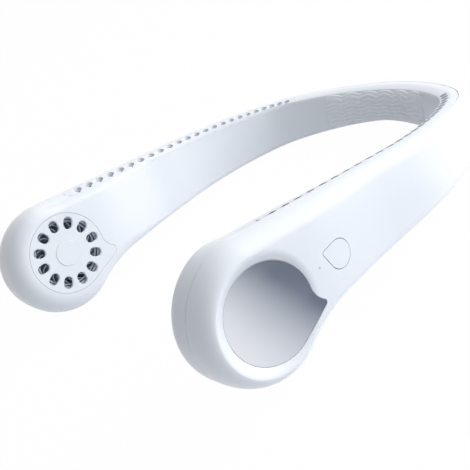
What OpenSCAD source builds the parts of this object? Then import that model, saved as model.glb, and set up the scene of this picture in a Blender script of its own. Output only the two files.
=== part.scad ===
// Bladeless neck fan: a one-piece U band whose two round heads each hold a small
// radial blower that feeds a row of outlet holes along the top of its arm.
// Arm coordinates: s runs along the hole line from the middle of the back to the head,
// n points outwards from that line, z is up, and the flat top of the band is z = 0.
// The band is drawn with its top level, then tilted to stand on its heads and its back.

/* [Neck band plan] */
// Radius of the hole line across the back of the neck
back_r = 100; // [90:1:115]
// Turn of the back arc on each side, in degrees
back_turn = 31.5; // [28:0.5:34]
// Radius of the hole line at each back corner
corner_r = 40; // [34:1:50]
// Turn at each back corner, in degrees
corner_turn = 31.5; // [28:0.5:34]
// Radius of the hole line along the side bend
side_r = 123; // [110:1:140]
// Straight length of the arm up to the middle of the head
arm_len = 87.8; // [84:0.2:92]

/* [Band section] */
// Height of the band at the middle of the back
back_h = 19.2; // [18:0.2:21]
// Height of the band where the arm meets the head
neck_h = 41.2; // [39:0.2:43]
// Distance from the middle of the head back to that narrow point
neck_back = 40.7; // [39:0.1:42]
// How late the lower edge drops, as an exponent
droop_power = 1.35; // [1.2:0.05:1.5]
// Radius of the round head
head_r = 28.6; // [28.2:0.1:29.4]
// Distance from the hole line to the seam between frame and cover along the arm
arm_seam = 6.5; // [6.2:0.1:7]
// Distance from the hole line to that seam round the head
head_seam = 3.9; // [3.6:0.1:4.4]
// How far the inner face of the head stands in from the inner face of the arm
inner_swell = 7.1; // [6.4:0.1:7.4]
// How far the outer face of the head stands out from the outer face of the arm
outer_swell = 3; // [2.6:0.1:3.4]
// Distance from the middle of the head back to where the swelling starts
swell_from = 73; // [68:1:76]
// Distance from the middle of the head back to where the swelling is complete
swell_to = 26; // [24:0.5:28]
// Distance from the hole line to the inner face at the top
inner_n = 2.45; // [2.3:0.05:2.7]
// Distance from the hole line to the outer face at the top
outer_n = 11; // [10.8:0.1:12]
// Lean of the inner face, in degrees
inner_lean = 4.9; // [4.5:0.1:5.2]
// Lean of the outer face, in degrees
outer_lean = 2.9; // [2:0.1:3.5]
// Thickness of the moulded walls
wall = 1.7; // [1.5:0.1:1.8]
// Edge rounding of the frame along the arm
frame_edge = 3.2; // [2.8:0.1:3.6]
// Width of the frame's rounding round the head
face_rim = 7.7; // [7.4:0.05:7.8]
// How far the cover's rounding reaches in from the rim
cover_edge = 6; // [5.5:0.1:6.4]

/* [Outlet strip] */
// Number of outlet holes on each arm
hole_count = 24; // [18:1:24]
// Spacing of the holes at the head
hole_pitch_front = 6.85; // [6.7:0.05:6.95]
// Spacing of the holes at the back
hole_pitch_back = 4.5; // [4.4:0.05:4.8]
// Distance from the middle of the head back to the first hole
first_hole_back = 23.6; // [23.2:0.1:24.2]
// Length of the first hole
hole_len_front = 5.5; // [5:0.1:5.8]
// Length of the last hole
hole_len_back = 3.7; // [3.4:0.1:3.9]
// Width of the first hole
hole_w_front = 4.2; // [3.8:0.1:4.3]
// Width of the last hole
hole_w_back = 3.3; // [3:0.1:3.5]
// Slope of the hole surface towards the neck, in degrees
strip_tilt = 15; // [12:0.5:17]
// Thickness of the strip
strip_t = 1.35; // [1.2:0.05:1.5]

/* [Intake cover] */
// Distance from the head's radius in to the radius of the intake cover
intake_rim = 8.1; // [8:0.05:8.3]
// How far the middle of the cover's tip lies outside that radius
intake_tip_reach = 4.3; // [4:0.1:4.5]
// Thickness of the cover
intake_t = 1.2; // [1.1:0.05:1.3]
// Number of intake holes
intake_holes = 12; // [8:1:12]
// Distance from the edge of the cover in to the ring of intake holes
intake_ring_in = 5.25; // [5.1:0.05:5.5]
// Width of an intake hole as a share of the ring's radius
hole_w_share = 0.3475; // [0.32:0.0025:0.36]
// Radial length of an intake hole
intake_hole_l = 7; // [6.4:0.1:7.1]
// Turn of the ring of intake holes, in degrees
intake_turn = 6.5; // [0:0.5:15]
// Radius of the centre cap
cap_r = 6.6; // [6.4:0.1:7]

/* [Mirror disc] */
// Distance from the head's radius in to the radius of the mirror disc
disc_rim = 9.2; // [9:0.1:9.6]
// How far the middle of the disc's tip lies outside that radius
disc_tip_reach = 4.4; // [4:0.1:4.8]
// Thickness of the disc
disc_t = 0.9; // [0.7:0.05:1]
// Distance from the hole line out to the disc's face
disc_n = 13; // [12.8:0.05:13.2]
// Upward tilt of the disc, in degrees
disc_up = 5; // [4.5:0.25:5.25]
// Forward tilt of the disc, in degrees
disc_forward = 5.5; // [5:0.25:5.75]

/* [Blower] */
// Radius of the impeller
impeller_r = 16.8; // [16:0.1:16.9]
// Height of the impeller blades
blade_h = 9; // [8:0.1:9.6]
// Number of impeller blades
blade_count = 27; // [19:1:31]
// Radius at the inner edge of the blades
blade_inner_r = 11.9; // [11.5:0.1:13]
// Outer radius of the rotor cup
cup_r = 9.6; // [9.2:0.1:9.8]
// Radius of the shaft
shaft_r = 0.75; // [0.6:0.05:0.8]
// Radial running clearance of the shaft
shaft_gap = 0.03; // [0.02:0.01:0.06]
// Smallest inner radius of the scroll
scroll_r = 17.7; // [17.6:0.05:17.9]
// Growth of the scroll round the impeller
scroll_growth = 2.4; // [2:0.1:2.5]

/* [Power button] */
// Radius of the button
button_r = 5.7; // [5.2:0.1:6]
// Distance from the middle of the head back to the button
button_back = 38.8; // [38:0.1:39.6]
// Depth of the button below the top of the band
button_down = 22.9; // [22:0.1:24]
// Travel of the button
button_travel = 0.35; // [0.3:0.05:0.4]
// Gap round the button
button_gap = 0.3; // [0.3:0.05:0.4]

/* [Charging socket] */
// Width of the socket shell
socket_w = 8.94; // [8.8:0.02:9]
// Thickness of the socket shell
socket_h = 3.2; // [3.1:0.05:3.3]
// Depth of the socket shell
socket_l = 7.3; // [7:0.1:7.6]
// Thickness of the socket's sheet metal
socket_sheet = 0.3; // [0.25:0.05:0.35]
// Distance from the middle of the head back to the socket
socket_back = 56.6; // [56:0.1:57.4]

/* [Battery] */
// Length of each cell
cell_l = 50; // [46:1:52]
// Height of each cell
cell_h = 12.6; // [11:0.2:12.8]
// Thickness of each cell
cell_t = 6.2; // [5.6:0.1:6.3]
// Room for the leads between a cell and the control board
cell_room = 13; // [11:0.5:15]

/* [Neck pad] */
// Half length of the pad along the back
pad_half = 38; // [34:1:40]
// Thickness of the pad at its edge
pad_t = 1.3; // [1.1:0.1:1.5]
// Extra thickness at the pad's crown
pad_crown = 1; // [0.8:0.1:1.3]
// Height of the wave relief
pad_relief = 0.45; // [0.3:0.05:0.5]
// Number of waves along the pad
pad_waves = 6; // [4:1:7]
// Number of wavy rows
pad_rows = 6; // [4:1:7]

/* [Hidden] */

// How far cuts run past what they cut
over = 2;
// Facets of round parts
round_fn = 64;
small_fn = 32;

// Plan of the hole line
quarter = 90;
side_turn = quarter - back_turn - corner_turn;
deg = PI / 180;
s_back = back_r * back_turn * deg;
s_corner = s_back + corner_r * corner_turn * deg;
s_side = s_corner + side_r * side_turn * deg;
head_s = s_side + arm_len;
face_r = head_r - face_rim;
back_y = arm_len;
corner_head = quarter - back_turn;
back_end = [back_r * sin(back_turn), -back_r * (1 - cos(back_turn))];
corner_end = back_end + corner_r * [cos(side_turn) - cos(corner_head), sin(side_turn) - sin(corner_head)];
arm_x = corner_end[0] + side_r * (1 - cos(side_turn));
arm_y = corner_end[1] - side_r * sin(side_turn);
head_y = arm_y - arm_len;

// Heading of the outward direction at s, in degrees: 90 at the back, 0 on the arm
function heading(s) =
    s < s_back ? 90 - s / back_r / deg
    : s < s_corner ? corner_head - (s - s_back) / corner_r / deg
    : s < s_side ? side_turn - (s - s_corner) / side_r / deg
    : 0;
function plan(s) =
    let (h = heading(s))
    s < s_back ? [back_r * cos(h), back_r * (sin(h) - 1)]
    : s < s_corner ? back_end + corner_r * [cos(h) - cos(corner_head), sin(h) - sin(corner_head)]
    : s < s_side ? corner_end + side_r * [cos(h) - cos(side_turn), sin(h) - sin(side_turn)]
    : [arm_x, arm_y - (s - s_side)];
// A point of the left arm, which is mirrored for a negative side
function spot(s, n, z, side = 1) =
    let (p = plan(abs(s)), h = heading(abs(s)), m = s < 0 ? -side : side)
    [m * (p[0] + n * cos(h)), p[1] + n * sin(h), z];

// Side view: the lower edge, the head and the fillet between them
neck_s = head_s - neck_back;
head_c = [head_s, -head_r];
function lower_z(s) = -back_h - (neck_h - back_h) * pow(s / neck_s, droop_power);
function lower_slope(s) = -(neck_h - back_h) * droop_power / neck_s * pow(s / neck_s, droop_power - 1);
function unit(v) = v / norm(v);
neck_p = [neck_s, -neck_h];
neck_out = unit([lower_slope(neck_s), -1]);
neck_v = neck_p - head_c;
fillet_r = (neck_v * neck_v - head_r * head_r) / (2 * (head_r - neck_out * neck_v));
fillet_c = neck_p + fillet_r * neck_out;
fillet_v = head_c - fillet_c;
fillet_from = atan2(-neck_out[1], -neck_out[0]);
fillet_to = atan2(fillet_v[1], fillet_v[0]);
rear_from = fillet_to - 2 * quarter;
function round_way(c, r, a) = c + r * [cos(a), sin(a)];

// Share of the head's swelling at s, and its slope
swell_len = swell_from - swell_to;
function swell_place(s) = max(0, min(1, (s - head_s + swell_from) / swell_len));
function swell(s) = let (t = swell_place(s)) t * t * (3 - 2 * t);
function swell_slope(s) = let (t = swell_place(s)) 6 * t * (1 - t) / swell_len;
function mix(a, b, t) = a + (b - a) * t;
function seam_n(s) = mix(arm_seam, head_seam, swell(s));

// Standing pose: the tilt at which the round heads and the back of the band touch the floor
back_steps = 7;
bend_steps = 6;
side_steps = 7;
neck_steps = 8;
function steps(from, to, count) = [for (i = [1 : count]) from + (to - from) * i / count];
arm_stations = concat([0], steps(0, s_back, back_steps), steps(s_back, s_corner, bend_steps),
    steps(s_corner, s_side, side_steps), steps(s_side, neck_s, neck_steps));
function floor_turn(s) =
    let (p = spot(s, seam_n(s), lower_z(s)))
    let (v = [p[1] - head_y, p[2] + head_r])
    -asin(head_r / norm(v)) - atan2(v[1], v[0]);
rest_turn = max([for (s = arm_stations) floor_turn(s)]);

// Stations of the lower edge from the back to the underside of the head: point, inward way
fillet_steps = 5;
rear_steps = 4;
front_steps = 9;
floor_way = rest_turn - quarter;
function head_stations(from, to, count) = [for (a = steps(from, to, count))
    [round_way(head_c, head_r, a), [-cos(a), -sin(a)]]];
lower_rim = concat(
    [for (s = arm_stations) [[s, lower_z(s)], unit([-lower_slope(s), 1])]],
    [for (a = steps(fillet_from, fillet_to, fillet_steps)) [round_way(fillet_c, fillet_r, a), [cos(a), sin(a)]]],
    head_stations(rear_from, floor_way, rear_steps),
    head_stations(floor_way, -quarter, 1),
    [for (i = [1 : front_steps - 1]) head_stations(-quarter, -quarter + quarter * i / front_steps, 1)[0]]
);
straight_count = len(lower_rim) - front_steps;
upper_rim = [for (i = [0 : len(lower_rim) - 1])
    let (q = lower_rim[i])
    i <= straight_count ? [[q[0][0], 0], [0, -1]] : [[q[0][0], -2 * head_r - q[0][1]], [q[1][0], -q[1][1]]]];
front_rim = [[head_s + head_r, -head_r], [-1, 0]];
rims = len(lower_rim);
// One closed loop round the whole band: left side forward along the top and back along the
// bottom, then the right side. Each entry is side, point, inward way, share of the top profile
fade_half = 12;
function top_share(s) = max(0, min(1, (head_s + fade_half - s) / fade_half / 2));
function rim_entry(side, q, top) = [side, q[0], q[1], top ? top_share(q[0][0]) : 0];
rim_loop = concat(
    [for (i = [0 : rims - 1]) rim_entry(1, upper_rim[i], true)],
    [rim_entry(1, front_rim, false)],
    [for (i = [rims - 1 : -1 : 0]) rim_entry(1, lower_rim[i], false)],
    [for (i = [1 : rims - 1]) rim_entry(-1, lower_rim[i], false)],
    [rim_entry(-1, front_rim, false)],
    [for (i = [rims - 1 : -1 : 1]) rim_entry(-1, upper_rim[i], true)]
);
loop_len = len(rim_loop);

// Faces of the band, as offsets from the hole line at a height z
function inner_face(z, s = 0) = -inner_n + z * tan(inner_lean) - inner_swell * swell(s);
function outer_face(z, s = 0) = outer_n - z * tan(outer_lean) + outer_swell * swell(s);
// The fan axis lies a little back from and above the middle of the head
fan_back = 1.85;
fan_up = 2.9;
fan_s = head_s - fan_back;
fan_z = fan_up - head_r;

// Profiles run from the seam to the face. Each point is fixed depth, share of the rounding's
// depth, offset from the hole line, and the share of the way from there to the face
flat_n = 2.4;
edge_n = -1.9;
edge_drop = 0.6;
edge_back = 0.4;
slope_mid_share = 0.5;
slope_drop = (flat_n - edge_n) * tan(strip_tilt);
corner_n = edge_n - edge_back;
corner_drop = slope_drop + edge_drop;
arc_angles = [22.5, 45, 67.5, 90];
hollow_angles = [30, 60, 90];
function round_from(s) = mix(frame_edge - inner_n, corner_n, swell(s));
// Depth of the frame's rounding where the inward way is w: round the head it ends at the flat face
function round_depth(s, w) = mix(frame_edge, head_r - face_r + [-fan_back, fan_up] * w, swell(s));
function top_ring(s, d) = concat(
    [[0, seam_n(s)], [0, flat_n], [slope_drop * slope_mid_share, mix(flat_n, edge_n, slope_mid_share)],
        [slope_drop, edge_n], [corner_drop, corner_n]],
    [for (a = arc_angles) [corner_drop + (d - corner_drop) * (1 - cos(a)), corner_n, sin(a)]]
);
function round_ring(s, d) =
    let (from = round_from(s))
    concat(
        [for (i = [0 : len(arc_angles)]) [0, mix(seam_n(s), from, i / len(arc_angles))]],
        [for (a = arc_angles) [d * (1 - cos(a)), from, sin(a)]]
    );
function top_hollow(s, d) = concat(
    [[wall, seam_n(s)], [wall, flat_n - wall], [wall + slope_drop, edge_n + wall]],
    [for (a = hollow_angles) [wall + slope_drop + (d - slope_drop - wall / 2) * (1 - cos(a)), edge_n + wall, sin(a)]]
);
function round_hollow(s, d) =
    let (from = round_from(s))
    concat(
        [for (i = [0 : 2]) [wall, mix(seam_n(s), from, i / 2)]],
        [for (a = hollow_angles) [wall + (d - wall) * (1 - cos(a)), from, sin(a)]]
    );
function frame_point(q, r, t, inset) =
    let (p = mix(r, t, q[3]))
    let (at = q[1] + q[2] * p[0])
    let (way = len(p) > 2 ? p[2] : 0)
    spot(at[0], mix(p[1], inner_face(at[1], at[0]) + inset, way), at[1], q[0]);
// Loops of points at each place of the profile; round and top profiles blend at the head
function frame_loops(hollow, inset) = [
    for (j = [0 : hollow ? 2 + len(hollow_angles) : len(arc_angles) * 2])
        [for (q = rim_loop)
            let (s = q[1][0])
            let (d = round_depth(s, q[2]))
            hollow ? frame_point(q, round_hollow(s, d)[j], top_hollow(s, d)[j], inset)
                : frame_point(q, round_ring(s, d)[j], top_ring(s, d)[j], inset)]
];
function cover_loop(p, inset) = [
    for (q = rim_loop)
        let (at = q[1] + q[2] * p[0])
        let (from = seam_n(q[1][0]))
        spot(at[0], mix(from, outer_face(at[1], at[0]) - inset, p[1]), at[1], q[0])
];
cover_angles = [0, 18, 36, 54, 72, 90];
cover_skin = [for (a = cover_angles) cover_loop([cover_edge * (1 - cos(a)), sin(a)], 0)];
cover_inside = [for (a = concat([0], hollow_angles)) cover_loop([wall + (cover_edge - wall) * (1 - cos(a)), sin(a)], wall)];
frame_skin = frame_loops(false, 0);
frame_inside = frame_loops(true, wall);

function flat(lists) = [for (l = lists) for (v = l) v];
function band_faces(j, k, flip) = [
    for (m = [0 : loop_len - 1])
        let (a = j * loop_len + m)
        let (b = j * loop_len + (m + 1) % loop_len)
        let (c = k * loop_len + (m + 1) % loop_len)
        let (d = k * loop_len + m)
        for (f = flip ? [[c, b, a], [d, c, a]] : [[a, b, c], [a, c, d]]) f
];
// Closes a loop across the face of the band, from the upper to the lower stations
function ladder_faces(j, flip) =
    let (o = j * loop_len)
    let (left = [for (i = [0 : rims - 2]) [o + i, o + i + 1, o + 2 * rims - i - 1, o + 2 * rims - i]])
    let (right = [for (i = [0 : rims - 2]) [o + 2 * rims + i, o + 2 * rims + i + 1,
        o + 4 * rims - i - 1, o + (4 * rims - i) % loop_len]])
    let (tips = [for (t = [rims, 3 * rims]) [o + t - 1, o + t, o + t + 1]])
    let (tris = concat([for (q = concat(left, right)) for (f = [[q[0], q[1], q[2]], [q[0], q[2], q[3]]]) f], tips))
    flip ? [for (f = tris) [f[2], f[1], f[0]]] : tris;
// A thin shell between a visible skin and a hollow skin, open along the seam
module band_shell(skin, hollow, flip) {
    a = len(skin);
    b = len(hollow);
    faces = concat(
        flat([for (j = [0 : a - 2]) band_faces(j, j + 1, flip)]),
        ladder_faces(a - 1, flip),
        band_faces(0, a, !flip),
        flat([for (j = [a : a + b - 2]) band_faces(j, j + 1, !flip)]),
        ladder_faces(a + b - 1, !flip)
    );
    polyhedron(points = flat(concat(skin, hollow)), faces = faces, convexity = 10);
}
// A solid swept through closed sections that all have the same number of points
module loft(sections) {
    k = len(sections[0]);
    last = len(sections) - 1;
    faces = concat(
        [[for (i = [0 : k - 1]) i]],
        [[for (i = [k - 1 : -1 : 0]) last * k + i]],
        [for (j = [0 : last - 1]) for (i = [0 : k - 1])
            let (a = j * k + i)
            let (b = j * k + (i + 1) % k)
            for (f = [[b, a, a + k], [b, a + k, b + k]]) f]
    );
    polyhedron(points = flat(sections), faces = faces, convexity = 10);
}

function rest_z(p) = p[1] * sin(rest_turn) + p[2] * cos(rest_turn);
function rest_y(p) = p[1] * cos(rest_turn) - p[2] * sin(rest_turn);
skin_points = flat(concat(cover_skin, frame_skin));
floor_z = min([for (p = skin_points) rest_z(p)]);
mid_y = (min([for (p = skin_points) rest_y(p)]) + max([for (p = skin_points) rest_y(p)])) / 2;
module stand() {
    translate([0, -mid_y, -floor_z]) rotate([rest_turn, 0, 0]) children();
}
module on_side(side) {
    if (side > 0) children();
    else mirror([1, 0, 0]) children();
}
// Local axes on the band: x to the back, y up, z outwards
module face_out() {
    rotate([quarter, 0, quarter]) children();
}
module at_wall(s, n, z, side = 1) {
    on_side(side) translate(spot(s, n, z)) rotate([0, 0, heading(s)]) face_out() children();
}
fan_n = inner_face(fan_z, fan_s);
module at_fan(side) {
    on_side(side) translate(spot(fan_s, fan_n, fan_z)) rotate([0, inner_lean, 0]) face_out() children();
}
disc_back = 1.9;
disc_drop = 0.8;
disc_z = -head_r - disc_drop;
module at_disc(side) {
    on_side(side) translate(spot(head_s - disc_back, disc_n, disc_z))
        rotate([0, 0, -disc_forward]) rotate([0, -disc_up, 0]) face_out() children();
}
module rod(from, len, r) {
    translate([0, 0, from]) cylinder(h = len, r = r, $fn = r > cap_r / 2 ? round_fn : small_fn);
}
module tube(from, len, out_r, in_r) {
    difference() {
        rod(from, len, out_r);
        rod(from - over, len + 2 * over, in_r);
    }
}
module slab(from, len) {
    translate([0, 0, from]) linear_extrude(height = len) children();
}
module block(x0, x1, y0, y1, z0, z1) {
    translate([x0, y0, z0]) cube([x1 - x0, y1 - y0, z1 - z0]);
}
module stadium(len, w) {
    square([len - w, w], center = true);
    for (m = [-1, 1]) translate([m * (len - w) / 2, 0]) circle(d = w, $fn = small_fn);
}
function polar(r, a) = r * [cos(a), sin(a)];
// A circle with one drawn-out tip: the upper side curves inwards on a radius that touches the
// circle and the tip, the lower side is a straight line that touches both
tip_steps = 10;
sweep_steps = 8;
module fin_shape(r, tip, tip_a, tip_r, sweep_r, grow = 0) {
    c = polar(tip, tip_a);
    low = tip_a - acos((r - tip_r) / tip);
    far = r + sweep_r;
    near = tip_r + sweep_r;
    leave = tip_a + acos((far * far + tip * tip - near * near) / (2 * tip * far));
    m = polar(far, leave);
    up = atan2(m[1] - c[1], m[0] - c[0]);
    polygon(concat(
        [for (i = [0 : round_fn]) polar(r + grow, mix(leave, low + 360, i / round_fn))],
        [for (i = [0 : tip_steps]) c + polar(tip_r + grow, mix(low, up, i / tip_steps))],
        [for (i = [1 : sweep_steps - 1]) m + polar(sweep_r - grow, mix(up, leave, i / sweep_steps) + 180)]
    ));
}

// Outlet holes and the strip that carries them
even_holes = 8;
strip_tail = 5;
strip_lead = 7.2;
hole_shift = 0.3;
strip_gap = 0.1;
strip_leg = 3.1;
tongue_reach = 1.2;
tongue_gap = 0.05;
leg_t = 1.4;
hole_first = head_s - first_hole_back;
fall_count = hole_count - even_holes;
function hole_s(i) =
    let (k = max(0, i - even_holes + 1))
    hole_first - i * hole_pitch_front + (hole_pitch_front - hole_pitch_back) * k * (k + 1) / 2 / fall_count;
function hole_mix(i, a, b) = a + (b - a) * i / (hole_count - 1);
strip_from = hole_s(hole_count - 1) - strip_tail;
strip_to = hole_first + strip_lead;
run_step = 4.4;
function run_stations(from, to) =
    let (count = ceil((to - from) / run_step))
    [for (i = [0 : count]) from + (to - from) * i / count];
module run(from, to, section, side = 1) {
    loft([for (s = run_stations(from, to)) [for (p = section) spot(s, p[0], p[1], side)]]);
}
tongue_z = -wall - tongue_gap;
strip_land = 0.25;
strip_edge = flat_n + strip_land;
strip_side = inner_face(-strip_leg);
strip_end_r = (strip_edge - corner_n) / 2;
strip_end_n = (strip_edge + corner_n) / 2;
strip_section = [
    [strip_edge, 0], [flat_n, 0], [edge_n, -slope_drop], [corner_n, -corner_drop],
    [strip_side, -strip_leg], [strip_side + leg_t, -strip_leg],
    [strip_side + leg_t, tongue_z - strip_t / 2], [strip_edge + tongue_reach, tongue_z - strip_t / 2],
    [strip_edge + tongue_reach, tongue_z], [strip_edge, tongue_z]
];
slot_section = [
    [strip_edge + strip_gap, over], [strip_side - strip_gap, over],
    [strip_side - strip_gap, -strip_leg - strip_gap / 2], [strip_edge + strip_gap, -strip_leg - strip_gap / 2]
];
module strip_end(grow) {
    translate(spot(strip_to - strip_end_r, strip_end_n, 0)) rod(-strip_leg - grow / 2, strip_leg + over, strip_end_r + grow);
}
module outlet_strip(side) {
    stand() on_side(side) difference() {
        run(strip_from, strip_to, strip_section);
        difference() {
            translate(spot(strip_to, strip_end_n, 0)) block(-head_r, head_r, -over, strip_end_r, -head_r, over);
            translate(spot(strip_to - strip_end_r, strip_end_n, 0)) rod(-2 * head_r, 3 * head_r, strip_end_r);
        }
        for (i = [0 : hole_count - 1])
            translate(spot(hole_s(i), hole_shift, 0)) rotate([0, 0, heading(hole_s(i)) - quarter])
                rotate([strip_tilt, 0, 0]) slab(-3 * over, 5 * over)
                    stadium(hole_mix(i, hole_len_front, hole_len_back), hole_mix(i, hole_w_front, hole_w_back));
    }
}
module outlet_strip_left() color("gainsboro") outlet_strip(1);
module outlet_strip_right() color("gainsboro") outlet_strip(-1);

// Air duct under the strip: an open channel closed by the frame and the strip
duct_z = 9.4;
duct_t = 1;
duct_in = 4.6;
duct_end = 1.2;
duct_touch = 0.3;
duct_slant = 0.45;
duct_ease = 0.12;
duct_top = tongue_z - duct_ease;
duct_lead = 1;
duct_to = strip_to - duct_lead;
duct_from = strip_from + duct_lead;
function duct_ring(s, inside_z, lip_z) =
    let (lip = inner_face(-duct_z, s) + wall + duct_touch)
    [for (p = [[duct_in + duct_t, duct_top - duct_slant], [duct_in, duct_top], [duct_in, inside_z], [lip, lip_z],
        [lip, -duct_z - duct_t], [duct_in + duct_t, -duct_z - duct_t]]) spot(s, p[0], p[1])];
module air_duct(side) {
    stops = [duct_from, duct_from + duct_end];
    stand() on_side(side) loft(concat(
        [for (s = stops) duct_ring(s, -wall - strip_t, -wall - 2 * strip_t)],
        [for (s = run_stations(duct_from + 3 / 2 * duct_end, duct_to)) duct_ring(s, -duct_z, -duct_z)]
    ));
}
module air_duct_left() color("white") air_duct(1);
module air_duct_right() color("white") air_duct(-1);

// Intake side of each head
intake_gap = 0.15;
intake_r = head_r - intake_rim;
intake_tip = intake_r + intake_tip_reach;
intake_ring_r = intake_r - intake_ring_in;
intake_hole_w = intake_ring_r * hole_w_share;
tip_r = 2.5;
tip_way = -21.4;
ledge_lap = 1.3;
ledge_in = intake_r - ledge_lap;
ledge_t = 1.2;
ledge_grow = 1.6;
screw_at = [23.4, -7.3];
screw_r = 1;
screw_play = 0.05;
screw_head_r = 1.8;
screw_head_t = 1;
screw_len = 8;
boss_r = 2.4;
boss_wall = 1;
intake_sweep = 8;
module intake_shape(grow = 0) fin_shape(intake_r, intake_tip, tip_way, tip_r, intake_sweep, grow);
cap_t = 0.7;
cap_rise = 0.25;
cap_pin_r = 2;
rim_cut = 0.35;
module intake_cover(side) {
    stand() at_fan(side) difference() {
        slab(0, intake_t) intake_shape();
        rod(-over, over + cap_t, cap_r + screw_play);
        rod(-over, 3 * over, cap_pin_r + screw_play);
        for (i = [0 : intake_holes - 1]) rotate(intake_turn + 360 * i / intake_holes) translate([intake_ring_r, 0, 0]) {
            slab(-over, 3 * over) stadium(intake_hole_l - 2 * rim_cut, intake_hole_w - 2 * rim_cut);
            slab(-over, over + rim_cut) stadium(intake_hole_l, intake_hole_w);
        }
    }
}
module intake_cover_left() color("white") intake_cover(1);
module intake_cover_right() color("white") intake_cover(-1);
module intake_cap(side) {
    stand() at_fan(side) {
        rod(-cap_rise, cap_rise + cap_t, cap_r);
        rod(0, intake_t + cap_t, cap_pin_r);
    }
}
module intake_cap_left() color("gainsboro") intake_cap(1);
module intake_cap_right() color("gainsboro") intake_cap(-1);

// Mirror disc and its pocket
disc_gap = 0.15;
disc_r = head_r - disc_rim;
disc_tip = disc_r + disc_tip_reach;
disc_sweep = 8.5;
disc_tip_way = -16.7;
disc_tip_r = 1.3;
pocket_floor = 1.4;
pocket_wall = 1.4;
crest_in = 6.3;
crest_r = head_r - crest_in;
crest_cut = 0.05;
cup_inset = 0.8;
disc_skin = 0.1;
module disc_shape(grow = 0) fin_shape(disc_r, disc_tip, disc_tip_way, disc_tip_r, disc_sweep, grow);
module mirror_disc(side) {
    stand() at_disc(side) slab(-disc_t, disc_t) disc_shape();
}
module mirror_disc_left() color("lightslategray") mirror_disc(1);
module mirror_disc_right() color("lightslategray") mirror_disc(-1);
module at_outer(side) {
    on_side(side) translate(spot(head_s, outer_face(-head_r, head_s), -head_r)) rotate([0, -outer_lean, 0]) face_out()
        children();
}
// The surface that falls from the crest of the cover to the edge of the disc
module funnel(side, grow) {
    hull() {
        at_disc(side) rod(-grow, disc_skin, disc_r + disc_gap + grow);
        at_outer(side) rod(-crest_cut, over, crest_r + grow);
    }
}
module disc_pocket(side) {
    at_disc(side) slab(-disc_t, disc_t + 2 * over) disc_shape(disc_gap);
    funnel(side, 0);
}
module disc_cup(side) {
    intersection() {
        union() {
            at_disc(side) slab(-disc_t - pocket_floor, disc_t + pocket_floor + over) disc_shape(disc_gap + pocket_wall);
            funnel(side, pocket_wall);
        }
        at_outer(side) block(-2 * head_r, 2 * head_r, -2 * head_r, 2 * head_r, -head_r, -cup_inset);
    }
}

// Blower stack, measured outwards from the inner face along the fan axis
blade_gap = 0.8;
blade_u = intake_t + ledge_t + blade_gap;
plate_u = blade_u + blade_h;
plate_t = 0.7;
cup_t = 1;
cup_u = blade_u + cup_t;
cup_skirt = 1.1;
cup_end = plate_u + plate_t + cup_skirt;
end_gap = 0.3;
base_u = cup_end + end_gap;
base_t = 0.8;
base_r = 10.5;
hub_r = 2;
hub_len = 1.2;
blade_t = 0.6;
blade_curve = 16;
blade_points = 5;
shroud_t = 0.5;
shroud_w = 0.8;
magnet_t = 1;
magnet_gap = 0.4;
magnet_r = cup_r - cup_t;
pole_r = magnet_r - magnet_t - magnet_gap;
bearing_r = 1.9;
sleeve_t = 0.8;
pole_count = 6;
half_share = 0.5;
pole_w = 1.5;
shoe_t = 0.7;
core_gap = 1.6;
core_u = cup_u + cup_t + core_gap;
core_t = 4.2;
coil_lip = 0.5;
coil_w = 1;
sleeve_r = bearing_r + sleeve_t;
core_wall = 0.9;
core_r = sleeve_r + core_wall;
module blade_shape() {
    half = blade_t / 2;
    span = impeller_r - shroud_w / 2 - blade_inner_r;
    function side_points(m) = [for (i = [0 : blade_points - 1])
        let (t = i / (blade_points - 1))
        let (r = blade_inner_r + span * t)
        polar(r, blade_curve * t * t + m * asin(half / r))];
    back_points = side_points(-1);
    polygon(concat(side_points(1), [for (i = [blade_points - 1 : -1 : 0]) back_points[i]]));
}
module impeller(side) {
    stand() at_fan(side) difference() {
        union() {
            for (i = [0 : blade_count - 1]) rotate(360 * i / blade_count)
                slab(blade_u + shroud_t / 2, blade_h + (plate_t - shroud_t) / 2) blade_shape();
            tube(plate_u, plate_t, impeller_r, cup_r - cup_t / 2);
            tube(blade_u, shroud_t, impeller_r, impeller_r - shroud_w);
            tube(cup_u, cup_end - cup_u, cup_r, magnet_r);
            rod(cup_u, cup_t, cup_r);
            rod(cup_u, cup_t + hub_len, hub_r);
        }
        rod(cup_u + cup_t / 2, cup_t + hub_len, shaft_r);
    }
}
module impeller_left() color("dimgray") impeller(1);
module impeller_right() color("dimgray") impeller(-1);
module rotor_magnet(side) {
    stand() at_fan(side) tube(core_u - coil_lip, cup_end - core_u + coil_lip / 2, magnet_r, magnet_r - magnet_t);
}
module rotor_magnet_left() color("darkslategray") rotor_magnet(1);
module rotor_magnet_right() color("darkslategray") rotor_magnet(-1);
shaft_end = base_u + base_t / 4;
module motor_shaft(side) {
    stand() at_fan(side) rod(cup_u + cup_t / 2, shaft_end - cup_u - cup_t / 2, shaft_r);
}
module motor_shaft_left() color("silver") motor_shaft(1);
module motor_shaft_right() color("silver") motor_shaft(-1);
bearing_u = cup_u + cup_t + hub_len + end_gap;
module motor_bearing(side) {
    stand() at_fan(side) tube(bearing_u, base_u - bearing_u, bearing_r, shaft_r + shaft_gap);
}
module motor_bearing_left() color("goldenrod") motor_bearing(1);
module motor_bearing_right() color("goldenrod") motor_bearing(-1);
module motor_base(side) {
    stand() at_fan(side) difference() {
        union() {
            rod(base_u, base_t, base_r);
            rod(bearing_u, base_u - bearing_u + base_t / 2, sleeve_r);
        }
        rod(bearing_u - over, base_u - bearing_u + over, bearing_r);
        rod(base_u - over, over + base_t / 2, shaft_r + end_gap);
    }
}
module motor_base_left() color("darkgreen") motor_base(1);
module motor_base_right() color("darkgreen") motor_base(-1);
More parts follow.
